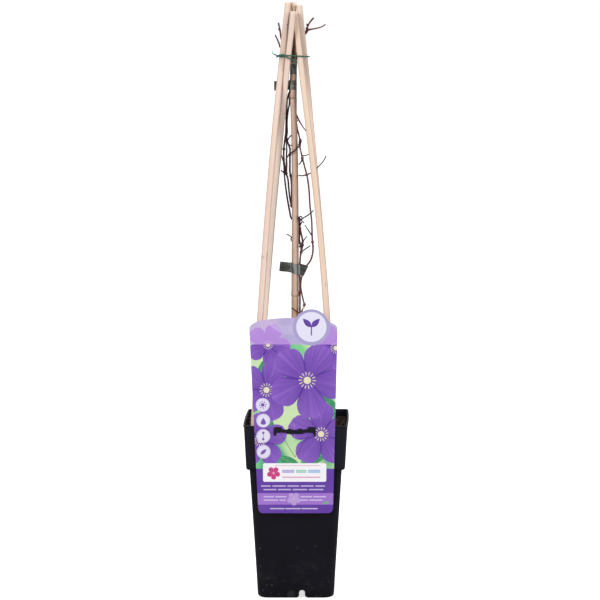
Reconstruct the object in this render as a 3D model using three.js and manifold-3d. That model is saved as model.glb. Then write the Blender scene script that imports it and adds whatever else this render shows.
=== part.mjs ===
// Potted clematis: a tall square nursery pot with soil, four pine sticks bowed together at the top,
// a bamboo cane, two dormant clematis stems, tying tape, a wire tie and a hanging plant label.
// Millimetres, +Z up, the pot stands on z = 0 and the label faces -Y.

import * as THREE from 'three';
import { mergeVertices } from 'three/addons/utils/BufferGeometryUtils.js';
import Module from 'manifold-3d';

const wasm = await Module();
wasm.setup();

// Driving dimensions
const GAP = 0.35;

const POT_HEIGHT = 221;
const RIM_HALF = 64.3;
const RIM_DEPTH = 1.9;
const SKIRT_TOP_HALF = 63.5;
const SKIRT_BOTTOM_HALF = 61.2;
const SKIRT_BOTTOM_Z = 167.8;
const BODY_TOP_HALF = 57;
const BODY_TOP_Z = 163.6;
const BODY_BOTTOM_HALF = 47.8;
const WALL = 1.5;
const FOOT_HEIGHT = 12;
const FOOT_WALL = 3;
const FOOT_ROUNDING = 4;
const RACK_SHIFT = 1.1;
const RACK_SKEW = 1.8;
const SIDE_BULGE = 1.2;
const NOTCH_OFFSET = 7.6;
const NOTCH_WIDTH = 8.6;
const NOTCH_HEIGHT = 10.4;
const NOTCH_FLARE = 2.16;
const DRAIN_RADIUS = 4;
const DRAIN_OFFSET = 21;

const SOIL_GAP = 0.5;
const SOIL_TOP = 213;
const CRUMB_HEIGHT = 0.9;
const MOUND_HEIGHT = 1.2;
const SOIL_RINGS = 12;
const STICK_WIDTH = 7.7;
const STICK_TOP_WIDTH = 7.05;
const STICK_EDGE_RADIUS = 1.6;
const STICK_FOOT_Z = 168.2;
const CANE_TOP_RADIUS = 3.3;
const CANE_TAPER = 0.0036;
const CANE_EVEN_BELOW_Z = 400;
const CANE_FOOT_Z = 100;
const CANE_TOP_Z = 738.4;
const CANE_BORE_RADIUS = 1.6;
const CANE_BORE_DEPTH = 14;
const CANE_JOINTS = [{ z: 376, swelling: 0.4 }, { z: 622, swelling: 0.9 }];

const TAPE_THICKNESS = 0.6;
const TAPE_TOP_WIDTH = 11.7;
const TAPE_MIDDLE_WIDTH = 11.8;
const TAPE_LOW_WIDTH = 10.4;
const WIRE_RADIUS = 0.75;
const TWIST_RADIUS = 1.1;
const STEM_FOOT_Z = 200;
const STEM_RADIUS = 1.05;
const STALK_RADIUS = 0.63;
const KNUCKLE_RADIUS = 1.65;
const BUD_RADIUS = 1.4;

const LABEL_THICKNESS = 0.8;
const LABEL_BACK_Y = -65;
const LABEL_LEAN = 0.02;
const LABEL_HANG_Z = 215.1;
const LUG_CENTRE_X = -1.4;
const LUG_FRONT_Y = -67;

// Closed bodies

function bodyFromRings(rings) {
  const count = rings[0].length;
  const positions = rings.flat().flatMap((p) => [p.x, p.y, p.z]);
  const indices = [];
  for (let ring = 0; ring + 1 < rings.length; ring++) {
    for (let i = 0; i < count; i++) {
      const a = ring * count + i;
      const b = ring * count + (i + 1) % count;
      indices.push(a, b, b + count, a, b + count, a + count);
    }
  }
  const last = (rings.length - 1) * count;
  const hub = 2;
  for (let i = 1; i + 1 < count; i++) {
    const b = (hub + i) % count;
    const c = (hub + i + 1) % count;
    indices.push(hub, c, b);
    indices.push(last + hub, last + b, last + c);
  }
  const geometry = new THREE.BufferGeometry();
  geometry.setAttribute('position', new THREE.Float32BufferAttribute(positions, 3));
  geometry.setIndex(indices);
  return geometry;
}

function toSolid(geometry) {
  const bare = geometry.clone();
  bare.deleteAttribute('normal');
  bare.deleteAttribute('uv');
  const merged = mergeVertices(bare, 1e-4);
  return new wasm.Manifold(new wasm.Mesh({
    numProp: 3,
    vertProperties: new Float32Array(merged.attributes.position.array),
    triVerts: new Uint32Array(merged.index.array),
  }));
}

function toGeometry(solid) {
  const mesh = solid.getMesh();
  const geometry = new THREE.BufferGeometry();
  geometry.setAttribute('position', new THREE.BufferAttribute(new Float32Array(mesh.vertProperties), 3));
  geometry.setIndex(new THREE.BufferAttribute(new Uint32Array(mesh.triVerts), 1));
  return geometry;
}

// Joins closed shapes into one solid, and fills any small hollow that joining them seals

function fuse(geometries) {
  const join = (whole, piece) => whole.add(piece);
  const joined = geometries.map(toSolid).reduce(join);
  return joined.decompose().filter((shell) => shell.volume() > 0).reduce(join);
}

// A square outline with rounded corners, anticlockwise from +X

function roundedSquare(half, radius, z, steps, sideSteps = 1) {
  const points = [];
  for (let corner = 0; corner < 4; corner++) {
    const middle = (corner + 0.5) * Math.PI / 2;
    const centreX = Math.sign(Math.cos(middle)) * (half - radius);
    const centreY = Math.sign(Math.sin(middle)) * (half - radius);
    for (let i = 0; i <= steps; i++) {
      const angle = (corner + i / steps) * Math.PI / 2;
      points.push(new THREE.Vector3(
        centreX + radius * Math.cos(angle), centreY + radius * Math.sin(angle), z));
    }
    const end = (corner + 1) * Math.PI / 2;
    const along = new THREE.Vector3(-Math.sin(end), Math.cos(end), 0);
    const step = 2 * (half - radius) / sideSteps;
    const start = points.at(-1);
    for (let i = 1; i < sideSteps; i++) points.push(start.clone().addScaledVector(along, i * step));
  }
  return points;
}

// The filled pot's thin walls are pushed askew towards the back and bulge at the sides, more so higher up

function racked(point) {
  const height = point.z / POT_HEIGHT;
  const along = point.y / RIM_HALF;
  const side = Math.abs(point.x) > Math.abs(point.y) ? Math.sign(point.x) : 0;
  const bulge = side * SIDE_BULGE * height ** 3 * (1 - along ** 2);
  point.x += bulge + height * (RACK_SHIFT + RACK_SKEW * along);
  return point;
}

function circle(radius, sides) {
  const points = [];
  for (let i = 0; i < sides; i++) {
    const angle = i / sides * 2 * Math.PI;
    points.push(new THREE.Vector3(radius * Math.cos(angle), radius * Math.sin(angle), 0));
  }
  return points;
}

// An upright rod through a few known points, each [z, x, y], with level cross-sections:
// outlineAt(z) gives the section around the rod's centre

function rodLine(known) {
  const line = new THREE.CubicInterpolant(known.map(([z]) => z), known.flatMap(([, x, y]) => [x, y]), 2);
  return (z) => {
    const [x, y] = line.evaluate(z);
    return new THREE.Vector3(x, y, 0);
  };
}

function rodBody(centreAt, levels, outlineAt) {
  return bodyFromRings(levels.map((z) => outlineAt(z).map((p) => p.add(centreAt(z)).setZ(z))));
}

function evenLevels(low, high, steps) {
  return Array.from({ length: steps + 1 }, (_, i) => low + (high - low) * i / steps);
}

// A round tube along a route; radiusAt(t) runs from 0 at its start to 1 at its end

function tubeBody(route, stepLength, sides, radiusAt) {
  const curve = new THREE.CatmullRomCurve3(route.map((p) => new THREE.Vector3(...p)), false, 'centripetal');
  const steps = Math.max(2, Math.ceil(curve.getLength() / stepLength));
  const frames = curve.computeFrenetFrames(steps, false);
  const rings = [];
  for (let i = 0; i <= steps; i++) {
    const centre = curve.getPointAt(i / steps);
    rings.push(circle(radiusAt(i / steps), sides).map((p) => centre.clone()
      .addScaledVector(frames.normals[i], p.x)
      .addScaledVector(frames.binormals[i], p.y)));
  }
  return bodyFromRings(rings);
}

// Pot

function drainNotch(turn) {
  const shape = new THREE.Shape();
  const half = NOTCH_WIDTH / 2;
  const flare = half * NOTCH_FLARE;
  shape.moveTo(-flare, -0.5);
  shape.lineTo(flare, -0.5);
  shape.quadraticCurveTo(half, 0.8, half, FOOT_ROUNDING);
  shape.lineTo(half, NOTCH_HEIGHT - half);
  shape.absarc(0, NOTCH_HEIGHT - half, half, 0, Math.PI, false);
  shape.lineTo(-half, FOOT_ROUNDING);
  shape.quadraticCurveTo(-half, 0.8, -flare, -0.5);
  const geometry = new THREE.ExtrudeGeometry(shape, { depth: 14, bevelEnabled: false, curveSegments: 5 });
  geometry.rotateX(Math.PI / 2);
  geometry.translate(NOTCH_OFFSET, -BODY_BOTTOM_HALF + 10, 0);
  geometry.rotateZ(turn);
  return geometry;
}

// The raised lug on the front of the lip, as boxes; the label's slot is the same boxes, grown

function lugBoxes(grow, frontY, backY) {
  const boxes = [
    { x: -21.2, width: 9, low: 213.7, high: 219.9 },
    { x: 21.2, width: 9, low: 213.7, high: 219.9 },
    { x: -24.1, width: 3.2, low: 210.1, high: 215.3 },
    { x: 24.1, width: 3.2, low: 210.1, high: 215.3 },
    { x: 0, width: 44, low: 213.4, high: 216.9 },
    { x: -6.7, width: 3.2, low: 214.3, high: 218.1 },
    { x: 6.7, width: 3.2, low: 214.3, high: 218.1 },
  ];
  return boxes.map((box) => {
    const geometry = new THREE.BoxGeometry(
      box.width + 2 * grow, backY - frontY, box.high - box.low + 2 * grow);
    geometry.translate(LUG_CENTRE_X + box.x, (frontY + backY) / 2, (box.low + box.high) / 2);
    return geometry;
  });
}

function makePot() {
  const rimZ = POT_HEIGHT - RIM_DEPTH;
  const floorZ = FOOT_HEIGHT + WALL;
  const footInside = BODY_BOTTOM_HALF - FOOT_WALL;
  const profile = [
    [footInside, 9.5, FOOT_HEIGHT],
    [footInside - 0.2, 9.4, FOOT_ROUNDING],
    [footInside - 2.6, 8, 0],
    [BODY_BOTTOM_HALF - FOOT_ROUNDING, 9.8, 0],
    [BODY_BOTTOM_HALF - 0.5 * FOOT_ROUNDING, 11, 0.15 * FOOT_ROUNDING],
    [BODY_BOTTOM_HALF - 0.15 * FOOT_ROUNDING, 11.8, 0.45 * FOOT_ROUNDING],
    [BODY_BOTTOM_HALF, 12.2, FOOT_ROUNDING],
    [BODY_TOP_HALF, 6.5, BODY_TOP_Z],
    [SKIRT_BOTTOM_HALF - 1.6, 6, BODY_TOP_Z + 1],
    [SKIRT_BOTTOM_HALF - 0.4, 5.6, BODY_TOP_Z + 2.4],
    [SKIRT_BOTTOM_HALF, 5.4, SKIRT_BOTTOM_Z],
    [SKIRT_TOP_HALF, 4, rimZ - 0.5],
    [RIM_HALF, 4.2, rimZ + 0.3],
    [RIM_HALF, 4.2, POT_HEIGHT - 0.6],
    [RIM_HALF - 0.5, 4, POT_HEIGHT],
    [SKIRT_TOP_HALF - 0.9, 3.2, POT_HEIGHT],
    [SKIRT_TOP_HALF - WALL + 0.1, 3, POT_HEIGHT - 0.7],
    [SKIRT_TOP_HALF - WALL, 2.8, rimZ - 0.6],
    [SKIRT_BOTTOM_HALF - WALL + 0.1, 4, SKIRT_BOTTOM_Z + 0.8],
    [SKIRT_BOTTOM_HALF - WALL - 0.4, 4.2, SKIRT_BOTTOM_Z - 0.4],
    [BODY_TOP_HALF - WALL, 5.2, BODY_TOP_Z + 2],
    [BODY_BOTTOM_HALF - 1.2, 10.8, floorZ + 0.8],
    [BODY_BOTTOM_HALF - 2, 10, floorZ],
  ];
  const shell = bodyFromRings(profile.map(
    ([half, radius, z]) => roundedSquare(half, radius, z, 4, 4).map(racked)));
  let pot = toSolid(shell).add(fuse(lugBoxes(0, LUG_FRONT_Y, -SKIRT_TOP_HALF + WALL / 2)));
  for (let side = 0; side < 4; side++) {
    pot = pot.subtract(toSolid(drainNotch(side * Math.PI / 2)));
    const drain = new THREE.CylinderGeometry(DRAIN_RADIUS, DRAIN_RADIUS, 3 * WALL, 14);
    drain.rotateX(Math.PI / 2);
    drain.translate(DRAIN_OFFSET, DRAIN_OFFSET, FOOT_HEIGHT + WALL / 2);
    drain.rotateZ(side * Math.PI / 2);
    pot = pot.subtract(toSolid(drain));
  }
  return toGeometry(pot);
}

// Sticks: square pine, softened edges, each standing in a corner on the pot's ledge

const STICKS = {
  front_left: {
    top: 738.4,
    line: rodLine([[168, -54.9, -54], [351, -44.2, -35.5], [496, -33.4, -18.7], [582, -25.9, -10.5],
      [654, -18.8, -4.6], [740, -10.5, -0.5]]),
  },
  back_left: {
    top: 727.4,
    line: rodLine([[168, -52.8, 54], [342, -39.9, 35], [493, -27.3, 15], [581, -18.6, 3.6],
      [654, -11.4, -5.6], [740, -1.4, -15.3]]),
  },
  front_right: {
    top: 725,
    line: rodLine([[168, 43.7, -54], [352, 38.2, -37.5], [496, 25.9, -21.8], [582, 15.9, -13.5],
      [654, 7.2, -7.9], [740, -3, -3.6]]),
  },
  back_right: {
    top: 735,
    line: rodLine([[168, 47.7, 54], [342, 39.6, 36], [493, 27.3, 19.4], [581, 19.3, 11],
      [654, 12.8, 6], [740, 3.5, 2.8]]),
  },
};

function stickHalf(z) {
  return THREE.MathUtils.lerp(STICK_WIDTH, STICK_TOP_WIDTH, THREE.MathUtils.smoothstep(z, 500, 620)) / 2;
}

function makeStick({ line, top }, grow = 0) {
  const levels = evenLevels(STICK_FOOT_Z - grow, top, 14);
  return rodBody(line, levels, (z) => roundedSquare(stickHalf(z) + grow, STICK_EDGE_RADIUS + grow, 0, 2));
}

// Cane: bamboo, swollen at its joints, with an open end

const CANE_LINE = rodLine([[99, -1.8, 0], [369, -1.1, 0], [494, -0.9, 0], [588, -2.2, 0.2], [622, -3.6, 0.5],
  [654, -2.9, 1.4], [740, -2.9, 6.6]]);

function caneRadius(z) {
  let radius = CANE_TOP_RADIUS + CANE_TAPER * (CANE_TOP_Z - Math.max(z, CANE_EVEN_BELOW_Z));
  for (const joint of CANE_JOINTS) {
    radius += joint.swelling * Math.exp(-(((z - joint.z - 1.5) / 3.6) ** 2));
    radius -= 0.25 * Math.exp(-(((z - joint.z + 2.6) / 1.2) ** 2));
  }
  return radius;
}

function caneLevels() {
  const levels = evenLevels(CANE_FOOT_Z, CANE_TOP_Z, 16);
  for (const joint of CANE_JOINTS) {
    levels.push(...[-5, -2.6, -1, 1.5, 4, 8].map((step) => joint.z + step));
  }
  return levels.sort((a, b) => a - b).filter((z, i, all) => i === 0 || z - all[i - 1] > 0.8);
}

function makeCane(grow = 0) {
  const levels = caneLevels();
  levels[0] -= grow;
  const rod = rodBody(CANE_LINE, levels, (z) => circle(caneRadius(z) + grow, 14));
  if (grow > 0) return rod;
  const bore = new THREE.CylinderGeometry(CANE_BORE_RADIUS, CANE_BORE_RADIUS * 0.8, 2 * CANE_BORE_DEPTH, 10);
  bore.rotateX(Math.PI / 2);
  const mouth = CANE_LINE(CANE_TOP_Z);
  bore.translate(mouth.x, mouth.y - 0.4, CANE_TOP_Z);
  return toGeometry(toSolid(rod).subtract(toSolid(bore)));
}

// Stems: each shoot is a tube from a thick start to a thin end, with a knuckle where it starts.
// A stalk is a dried leaf stalk, a bud is a pointed swelling.

const STEM_RIGHT = {
  shoots: [
    { thin: 1, route: [[8, -6, STEM_FOOT_Z], [8, -6, 214], [9, -7, 250], [7.5, -6.5, 300], [5.6, -5.4, 347],
      [7.4, -5.4, 356], [10.2, -5.2, 363], [8.6, -4.6, 372], [6.5, -3.9, 382], [5.9, -3.8, 388],
      [6.5, -3.3, 395], [7.9, -2.6, 400.5], [12.7, -2.1, 411.5], [18.4, -2, 419.5], [20.8, -1.5, 427.5],
      [21.4, -1, 436], [20.7, -1, 442], [20.2, -0.5, 452], [19.5, 0, 470], [17.5, 0, 487], [16.5, 0, 504],
      [15, 0, 518], [13.5, -0.5, 526], [11, -1, 535.5], [8.2, -2, 546.5], [5.2, -3, 559.5], [4.5, -2, 564],
      [4.5, 2, 571.5], [3.5, 5.5, 583.5], [3, 6.5, 592.5], [1, 7.5, 603.5], [0, 7.5, 618.5], [0, 7, 637],
      [0.3, 8.2, 655.5],
      [1, 9.3, 673], [3, 10.5, 686], [9, 10.4, 696], [12.6, 8.8, 702], [14.6, 6.6, 709], [18, 4, 715],
      [22, 2.5, 719.5]] },
    { thin: 0.7, route: [[12.9, 8.6, 702.6], [17, 5.6, 705], [22.5, 3.5, 706], [32, 1.5, 708.5],
      [36.5, 0.5, 711.5]] },
    { thin: 0.65, route: [[3, 6.5, 592.5], [6, 5, 588.5], [9.5, 3, 584.5], [12.5, 1, 580.5],
      [14.2, -0.4, 578.6]] },
    { thin: 0.6, route: [[5, -3, 562], [2.5, -5.6, 560.5], [-1.5, -6, 556.5], [-6.5, -5, 553],
      [-9.6, -3, 550.5]] },
    { thin: 0.7, route: [[6.4, -5.4, 353], [2.6, -6.4, 355], [-1, -6.7, 357], [-5.7, -6, 360.3]] },
  ],
  stalks: [
    [[13.5, -0.5, 526], [19, -2, 528.5], [25.5, -3, 534], [31, -3, 539.5], [35, -3, 544.5],
      [37.5, -3, 549.5]],
    [[13.5, -0.5, 526], [8, -3, 525], [3.5, -5.2, 525.5]],
    [[7.2, -2.3, 550], [11.5, -3, 550], [16, -4, 551.5]],
    [[8, -2, 546], [6, -4, 541.5], [3.5, -5.4, 539]],
    [[20.4, -0.8, 449.5], [15.5, -3, 457], [11, -4, 464]],
    [[4.5, -2.4, 563.5], [6, -3.5, 565.5], [6.5, -4.5, 568.5], [6, -5, 571]],
    [[4.6, -2.6, 563], [4, -4.5, 566.5], [4.5, -5.5, 568.5]],
  ],
  knuckles: [[10.2, -5.2, 363], [6.4, -5.4, 353.4], [20.7, -1, 442], [13.5, -0.5, 526], [8, -2, 546.5],
    [4.7, -2.6, 563], [3, 6.5, 592.5], [12.9, 8.6, 702.6]],
  buds: [
    { from: [10.2, -5.2, 363], to: [12.6, -6.2, 366] },
    { from: [10.2, -5.4, 363], to: [8.4, -7.6, 357.6] },
    { from: [14.6, 6.6, 709], to: [13.4, 8, 712.6] },
  ],
};

const STEM_LEFT = {
  shoots: [
    { thin: 1, route: [[5.5, 5, STEM_FOOT_Z], [5.5, 5, 214], [6, 4.5, 260], [5.5, 3.5, 310], [5, 3, 346.5],
      [5, 2.8, 372], [4.9, 2.3, 388], [4.9, 2.3, 412], [5.5, 1.5, 422.5], [6.5, 1, 429.5], [8.3, 1, 438],
      [8, 1, 446], [6.5, 1.7, 452.5], [5, 3, 459], [4, 4.6, 465.5], [1.5, 6, 472.5], [-2.5, 6, 480.5],
      [-5.5, 5, 487], [-7.5, 4, 496.5], [-9, 3.5, 509.5], [-10, 3, 520.5], [-12, 3, 527], [-14.5, 3.5, 540],
      [-15, 4, 556.5], [-13.6, 4, 567.5], [-10.9, 4, 577], [-11, 4, 589.5], [-10.1, 4.2, 601.5],
      [-8.9, 4.6, 609.5], [-8, 5.2, 615], [-8.2, 5.8, 622], [-7.3, 6.2, 633], [-6.2, 7.5, 648],
      [-5.7, 8.3, 660.5], [-5.5, 9.3, 673], [-9.5, 8.5, 682.5], [-14, 6.5, 688.5], [-17.5, 5, 692.5],
      [-19.5, 3.5, 704], [-21.5, 2.5, 713.5]] },
    { thin: 0.8, route: [[-14, 6.5, 688.5], [-17.5, 6, 682], [-19.8, 5, 684], [-21.2, 4, 689],
      [-25.5, 3, 698.5]] },
    { thin: 0.85, route: [[1.5, 6, 472.5], [-3, 5.8, 469.5], [-5.8, 4.6, 471.5], [-8, 3, 481.5],
      [-10.5, 1.5, 495.5], [-12.5, 1, 509.5], [-14, 2, 522], [-14.5, 3.5, 529], [-14.9, 7.6, 537],
      [-16, 11.6, 543], [-18.6, 15, 551]] },
    { thin: 0.8, route: [[-5.5, 5, 487], [-5.2, 5.4, 506.5], [-5.6, 4.2, 517.5], [-6.4, 2.4, 523.5],
      [-7.5, 0.5, 530], [-7.5, 0, 540.5], [-7.5, 0, 551], [-7.5, 1, 558.5], [-10, 3, 565.5], [-12, 4, 574]] },
    { thin: 0.8, route: [[-12, 3, 527], [-11.5, 1, 538], [-11.6, 1.5, 548], [-11.4, 3, 559], [-12, 4, 574]] },
    { thin: 0.85, route: [[-14, 4.2, 566], [-12.5, 5, 576.5], [-12.2, 5.4, 590], [-12, 5.6, 600],
      [-11.3, 5.8, 608], [-11, 5.8, 615], [-10, 5.8, 622.5], [-8.4, 5.8, 628]] },
    { thin: 0.85, route: [[5, 3, 459], [4.2, 4, 449], [4.6, 4, 442], [6, 3.5, 435.5], [6.5, 1, 429.5]] },
  ],
  stalks: [
    [[-14.5, 3.5, 529], [-16.8, 4.6, 529.5], [-18.6, 5.6, 531.5]],
    [[-11, 3.8, 567], [-9, 1, 571], [-6, -4, 575]],
    [[-10, 3, 565], [-8.2, -0.5, 563.5], [-6, -4.6, 562.5]],
    [[8.4, 1, 437], [5.8, -3.5, 439.5], [4, -5.2, 436]],
    [[8, 1, 438], [10, -3, 444.5], [14, -4.5, 450]],
    [[6.5, 1, 429.5], [13, -3, 434.5], [18, -5, 438]],
    [[4, 4.5, 465.5], [5, 2, 469.5], [4.6, -3.5, 473], [6, -5, 475], [7.8, -5, 473]],
    [[4.7, 3.6, 461], [8, 1, 467.5], [10, -1, 466.5]],
    [[4.9, 2, 469.5], [8, 0, 471.5], [15, -4, 476], [22, -6, 482]],
    [[8.2, 1.2, 441], [3.6, 6, 440], [-3.5, 5.8, 441.5], [-6.2, 3, 445], [-6, 1, 448.5], [-8.5, -1, 450.5],
      [-11.5, -2, 452]],
  ],
  knuckles: [[6.5, 1, 429.5], [8.3, 1, 438], [5, 3, 459], [4, 4.6, 465.5], [1.5, 6, 472.5], [-5.5, 5, 487],
    [-12, 3, 527], [-14.5, 3.5, 529], [-12, 4, 574], [-14, 6.5, 688.5]],
  buds: [
    { from: [-14.9, 7.4, 537], to: [-15.6, 4.9, 543.5] },
    { from: [-19.5, 3.5, 704], to: [-21.8, 4.2, 706.5] },
  ],
};

function knuckle(place) {
  const geometry = new THREE.SphereGeometry(KNUCKLE_RADIUS, 6, 4);
  geometry.rotateX(Math.PI / 2);
  geometry.scale(1, 1, 1.35);
  geometry.translate(...place);
  return geometry;
}

function bud({ from, to }) {
  const swelling = (t) => Math.sin(Math.PI * Math.min(1, 0.25 + 0.72 * t));
  return tubeBody([from, to], 1.8, 5, (t) => THREE.MathUtils.lerp(0.25, BUD_RADIUS, swelling(t)));
}

function makeStem({ shoots, stalks, knuckles, buds }) {
  const taper = (thick, thin) => (t) => thick + (thin - thick) * t;
  const pieces = [
    ...shoots.map((shoot) => tubeBody(shoot.route, 7.5, 6, taper(STEM_RADIUS, shoot.thin))),
    ...stalks.map((route) => tubeBody(route, 4.2, 5, taper(STALK_RADIUS, STALK_RADIUS * 0.8))),
    ...knuckles.map(knuckle),
    ...buds.map(bud),
  ];
  return toGeometry(fuse(pieces));
}

function stemHole(stem) {
  const [x, y] = stem.shoots[0].route[0];
  const radius = STEM_RADIUS + 1.3 * GAP;
  const depth = 40;
  const hole = new THREE.CylinderGeometry(radius, radius, depth, 12);
  hole.rotateX(Math.PI / 2);
  hole.translate(x, y, STEM_FOOT_Z - GAP + depth / 2);
  return hole;
}

// Soil: lumpy on top, with a plain hole for each thing that stands in it

function soilHeight(x, y) {
  const crumbs = Math.sin(0.62 * x + 0.9) * Math.sin(0.55 * y + 0.4) + 0.6 * Math.sin(0.33 * x - 0.47 * y);
  const mound = Math.cos(x / 40) * Math.cos(y / 40) - 0.5;
  return SOIL_TOP + CRUMB_HEIGHT * crumbs + MOUND_HEIGHT * mound;
}

function makeSoil() {
  const skirtIn = (z) => SKIRT_BOTTOM_HALF - WALL - SOIL_GAP
    + (SKIRT_TOP_HALF - SKIRT_BOTTOM_HALF) * (z - SKIRT_BOTTOM_Z) / (POT_HEIGHT - RIM_DEPTH - SKIRT_BOTTOM_Z);
  const floorZ = FOOT_HEIGHT + WALL + GAP;
  const rings = [
    [BODY_BOTTOM_HALF - 2.6, 9.6, floorZ],
    [BODY_BOTTOM_HALF - 1.9, 10.3, floorZ + 1],
    [BODY_TOP_HALF - WALL - SOIL_GAP, 5, BODY_TOP_Z + 2.3],
    [SKIRT_BOTTOM_HALF - WALL - 0.9, 4, SKIRT_BOTTOM_Z - 0.1],
    [SKIRT_BOTTOM_HALF - WALL - SOIL_GAP, 3.8, SKIRT_BOTTOM_Z + 1],
  ].map(([half, radius, z]) => roundedSquare(half, radius, z, 4, 3).map(racked));
  const rimHalf = skirtIn(SOIL_TOP - 1);
  for (let i = 0; i <= SOIL_RINGS; i++) {
    const half = rimHalf * (1 - i / (SOIL_RINGS + 0.6));
    const ring = roundedSquare(half, half * (0.06 + 0.6 * i / SOIL_RINGS), 0, 4, 3);
    rings.push(ring.map((p) => racked(p.setZ(soilHeight(p.x, p.y)))));
  }
  let soil = toSolid(bodyFromRings(rings));
  for (const stick of Object.values(STICKS)) soil = soil.subtract(toSolid(makeStick(stick, GAP)));
  soil = soil.subtract(toSolid(makeCane(GAP)));
  for (const stem of [STEM_RIGHT, STEM_LEFT]) soil = soil.subtract(toSolid(stemHole(stem)));
  return toGeometry(soil);
}

// Tape: a thin strip on edge along a route of [x, y, z]; lean tips its upright edge along X

function makeTape(route, width, leanAt = () => 0) {
  const curve = new THREE.CatmullRomCurve3(route.map((p) => new THREE.Vector3(...p)), false, 'centripetal');
  const steps = Math.ceil(curve.getLength() / 1.9);
  const rings = [];
  for (let i = 0; i <= steps; i++) {
    const centre = curve.getPointAt(i / steps);
    const rise = new THREE.Vector3(leanAt(centre.x), 0, 1).multiplyScalar(width / 2);
    const side = curve.getTangentAt(i / steps).cross(rise).setZ(0).setLength(TAPE_THICKNESS / 2);
    rings.push([
      centre.clone().add(rise).sub(side),
      centre.clone().add(rise).add(side),
      centre.clone().sub(rise).add(side),
      centre.clone().sub(rise).sub(side),
    ]);
  }
  return bodyFromRings(rings);
}

const TAPE_TOP_ROUTE = [[2.4, 11.4, 657], [-5.5, 11.6, 657], [-8.8, 9.6, 657], [-8.6, 4.6, 657],
  [-7.7, 1.1, 657], [-6.4, -1.7, 657], [-4.7, -2.9, 657], [-2.8, -3.3, 657], [-0.9, -2.9, 657],
  [0.7, -1.6, 657], [2, 1, 657], [2.7, 4.6, 657], [3.1, 8, 657], [1.4, 10.2, 657], [-3, 10.5, 657]];

const TAPE_MIDDLE_ROUTE = [[-27, 1.4, 636], [-13, 1.6, 636.6], [-9.4, 1.2, 637], [-8.1, -0.5, 637],
  [-6.5, -2.8, 637], [-3.2, -3.7, 637], [-0.4, -2.7, 637], [1, -0.2, 637], [2.1, 3.4, 637], [2.4, 7, 637],
  [0.5, 9.4, 637], [-3.4, 9.5, 637], [-7, 9, 637], [-9.3, 7, 637], [-10.6, 4.4, 637], [-13, 2.8, 636.6],
  [-27, 2.6, 636]];

const TAPE_LOW_ROUTE = [[-20.3, -3.6, 412], [-12, -3.4, 411.2], [-8, -3.8, 410.7], [-4.6, -5, 410],
  [-0.5, -5.4, 409], [5.4, -5.3, 407.8], [9.4, -5, 406.6], [11.8, -4.1, 406.2], [12.6, -2, 406],
  [11.6, 0.3, 406.4], [8.6, 3.9, 407.4], [4.6, 5.7, 408.2], [0, 5.9, 409.2], [-4.4, 4.6, 410],
  [-6.7, 1.4, 410.4], [-8.3, -1.7, 410.7], [-12, -2.3, 411.2], [-20.3, -2.5, 412]];

const lowTapeLean = (x) => THREE.MathUtils.mapLinear(Math.max(x, 0), 0, 12.4, 0.1, 0.47);

// Tie wire: a loop round the sticks, twisted on the front left stick, with two loose ends

const KNOT_START = new THREE.Vector3(-14.4, -9.8, 673.4);
const KNOT_END = new THREE.Vector3(-20.6, -9.2, 673);
const KNOT_TURNS = 2.5;

function twistedStrand(phase) {
  const route = [];
  const steps = 20;
  for (let i = 0; i <= steps; i++) {
    const angle = phase + i / steps * KNOT_TURNS * 2 * Math.PI;
    const point = KNOT_START.clone().lerp(KNOT_END, i / steps);
    point.y += TWIST_RADIUS * Math.cos(angle);
    point.z += TWIST_RADIUS * Math.sin(angle);
    route.push(point.toArray());
  }
  return route;
}

function makeTieWire() {
  const upper = twistedStrand(0);
  const lower = twistedStrand(Math.PI);
  const round = [upper[0], [-12.8, -12.5, 673.4], [-8, -12.7, 673.2], [0, -12.3, 672.8], [7.5, -11.9, 672.4],
    [11, -11, 672.2], [13.6, -6.5, 672.1], [16.1, 0.2, 672], [16.5, 6, 672], [14.8, 9.6, 672],
    [9, 11.3, 672], [0.5, 11.8, 672], [-6.5, 11.8, 672.2], [-13, 8.4, 672.6], [-20, 2.9, 673],
    [-21.9, -1.5, 673.2], [-21.9, -6, 673.2], lower[20]];
  const second = [lower[0], [-12.8, -12.9, 671.6], [-8, -13.1, 670], [-3, -12.6, 668.2], [0.1, -11.8, 666.8],
    [1, -9.2, 665.8], [0.9, -7, 663.8], [0.8, -6.6, 660]];
  const longTail = [upper[20], [-23.4, -9.4, 673.6], [-26.2, -9, 674.6], [-28.6, -8.6, 676.4],
    [-29.2, -8.4, 678.6]];
  const shortTail = [lower[20], [-22.6, -9.8, 671.8], [-24.6, -10.4, 671.4]];
  const routes = [upper, lower, round, second, longTail, shortTail];
  return toGeometry(fuse(routes.map((route) => tubeBody(route, 1.9, 6, () => WIRE_RADIUS))));
}

// Label: thin plastic, narrower at the bottom, with a round lobe on the top right

function labelOutline() {
  const shape = new THREE.Shape();
  const lobe = { x: 19, z: 344.1, radius: 21.9 };
  shape.moveTo(-40.6, 111.6);
  shape.lineTo(39.7, 111.6);
  shape.quadraticCurveTo(45.6, 112, 46, 119);
  shape.lineTo(51, 341);
  shape.quadraticCurveTo(50.6, 346.4, 46.1, 347.8);
  shape.lineTo(lobe.x + lobe.radius * Math.cos(0.34), lobe.z + lobe.radius * Math.sin(0.34));
  shape.absarc(lobe.x, lobe.z, lobe.radius, 0.34, 2.6, false);
  shape.quadraticCurveTo(-33.5, 355.4, -47.6, 350.5);
  shape.quadraticCurveTo(-57, 347.4, -56.9, 341.2);
  shape.lineTo(-46.7, 119);
  shape.quadraticCurveTo(-46.4, 112, -40.6, 111.6);
  return shape;
}

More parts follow.
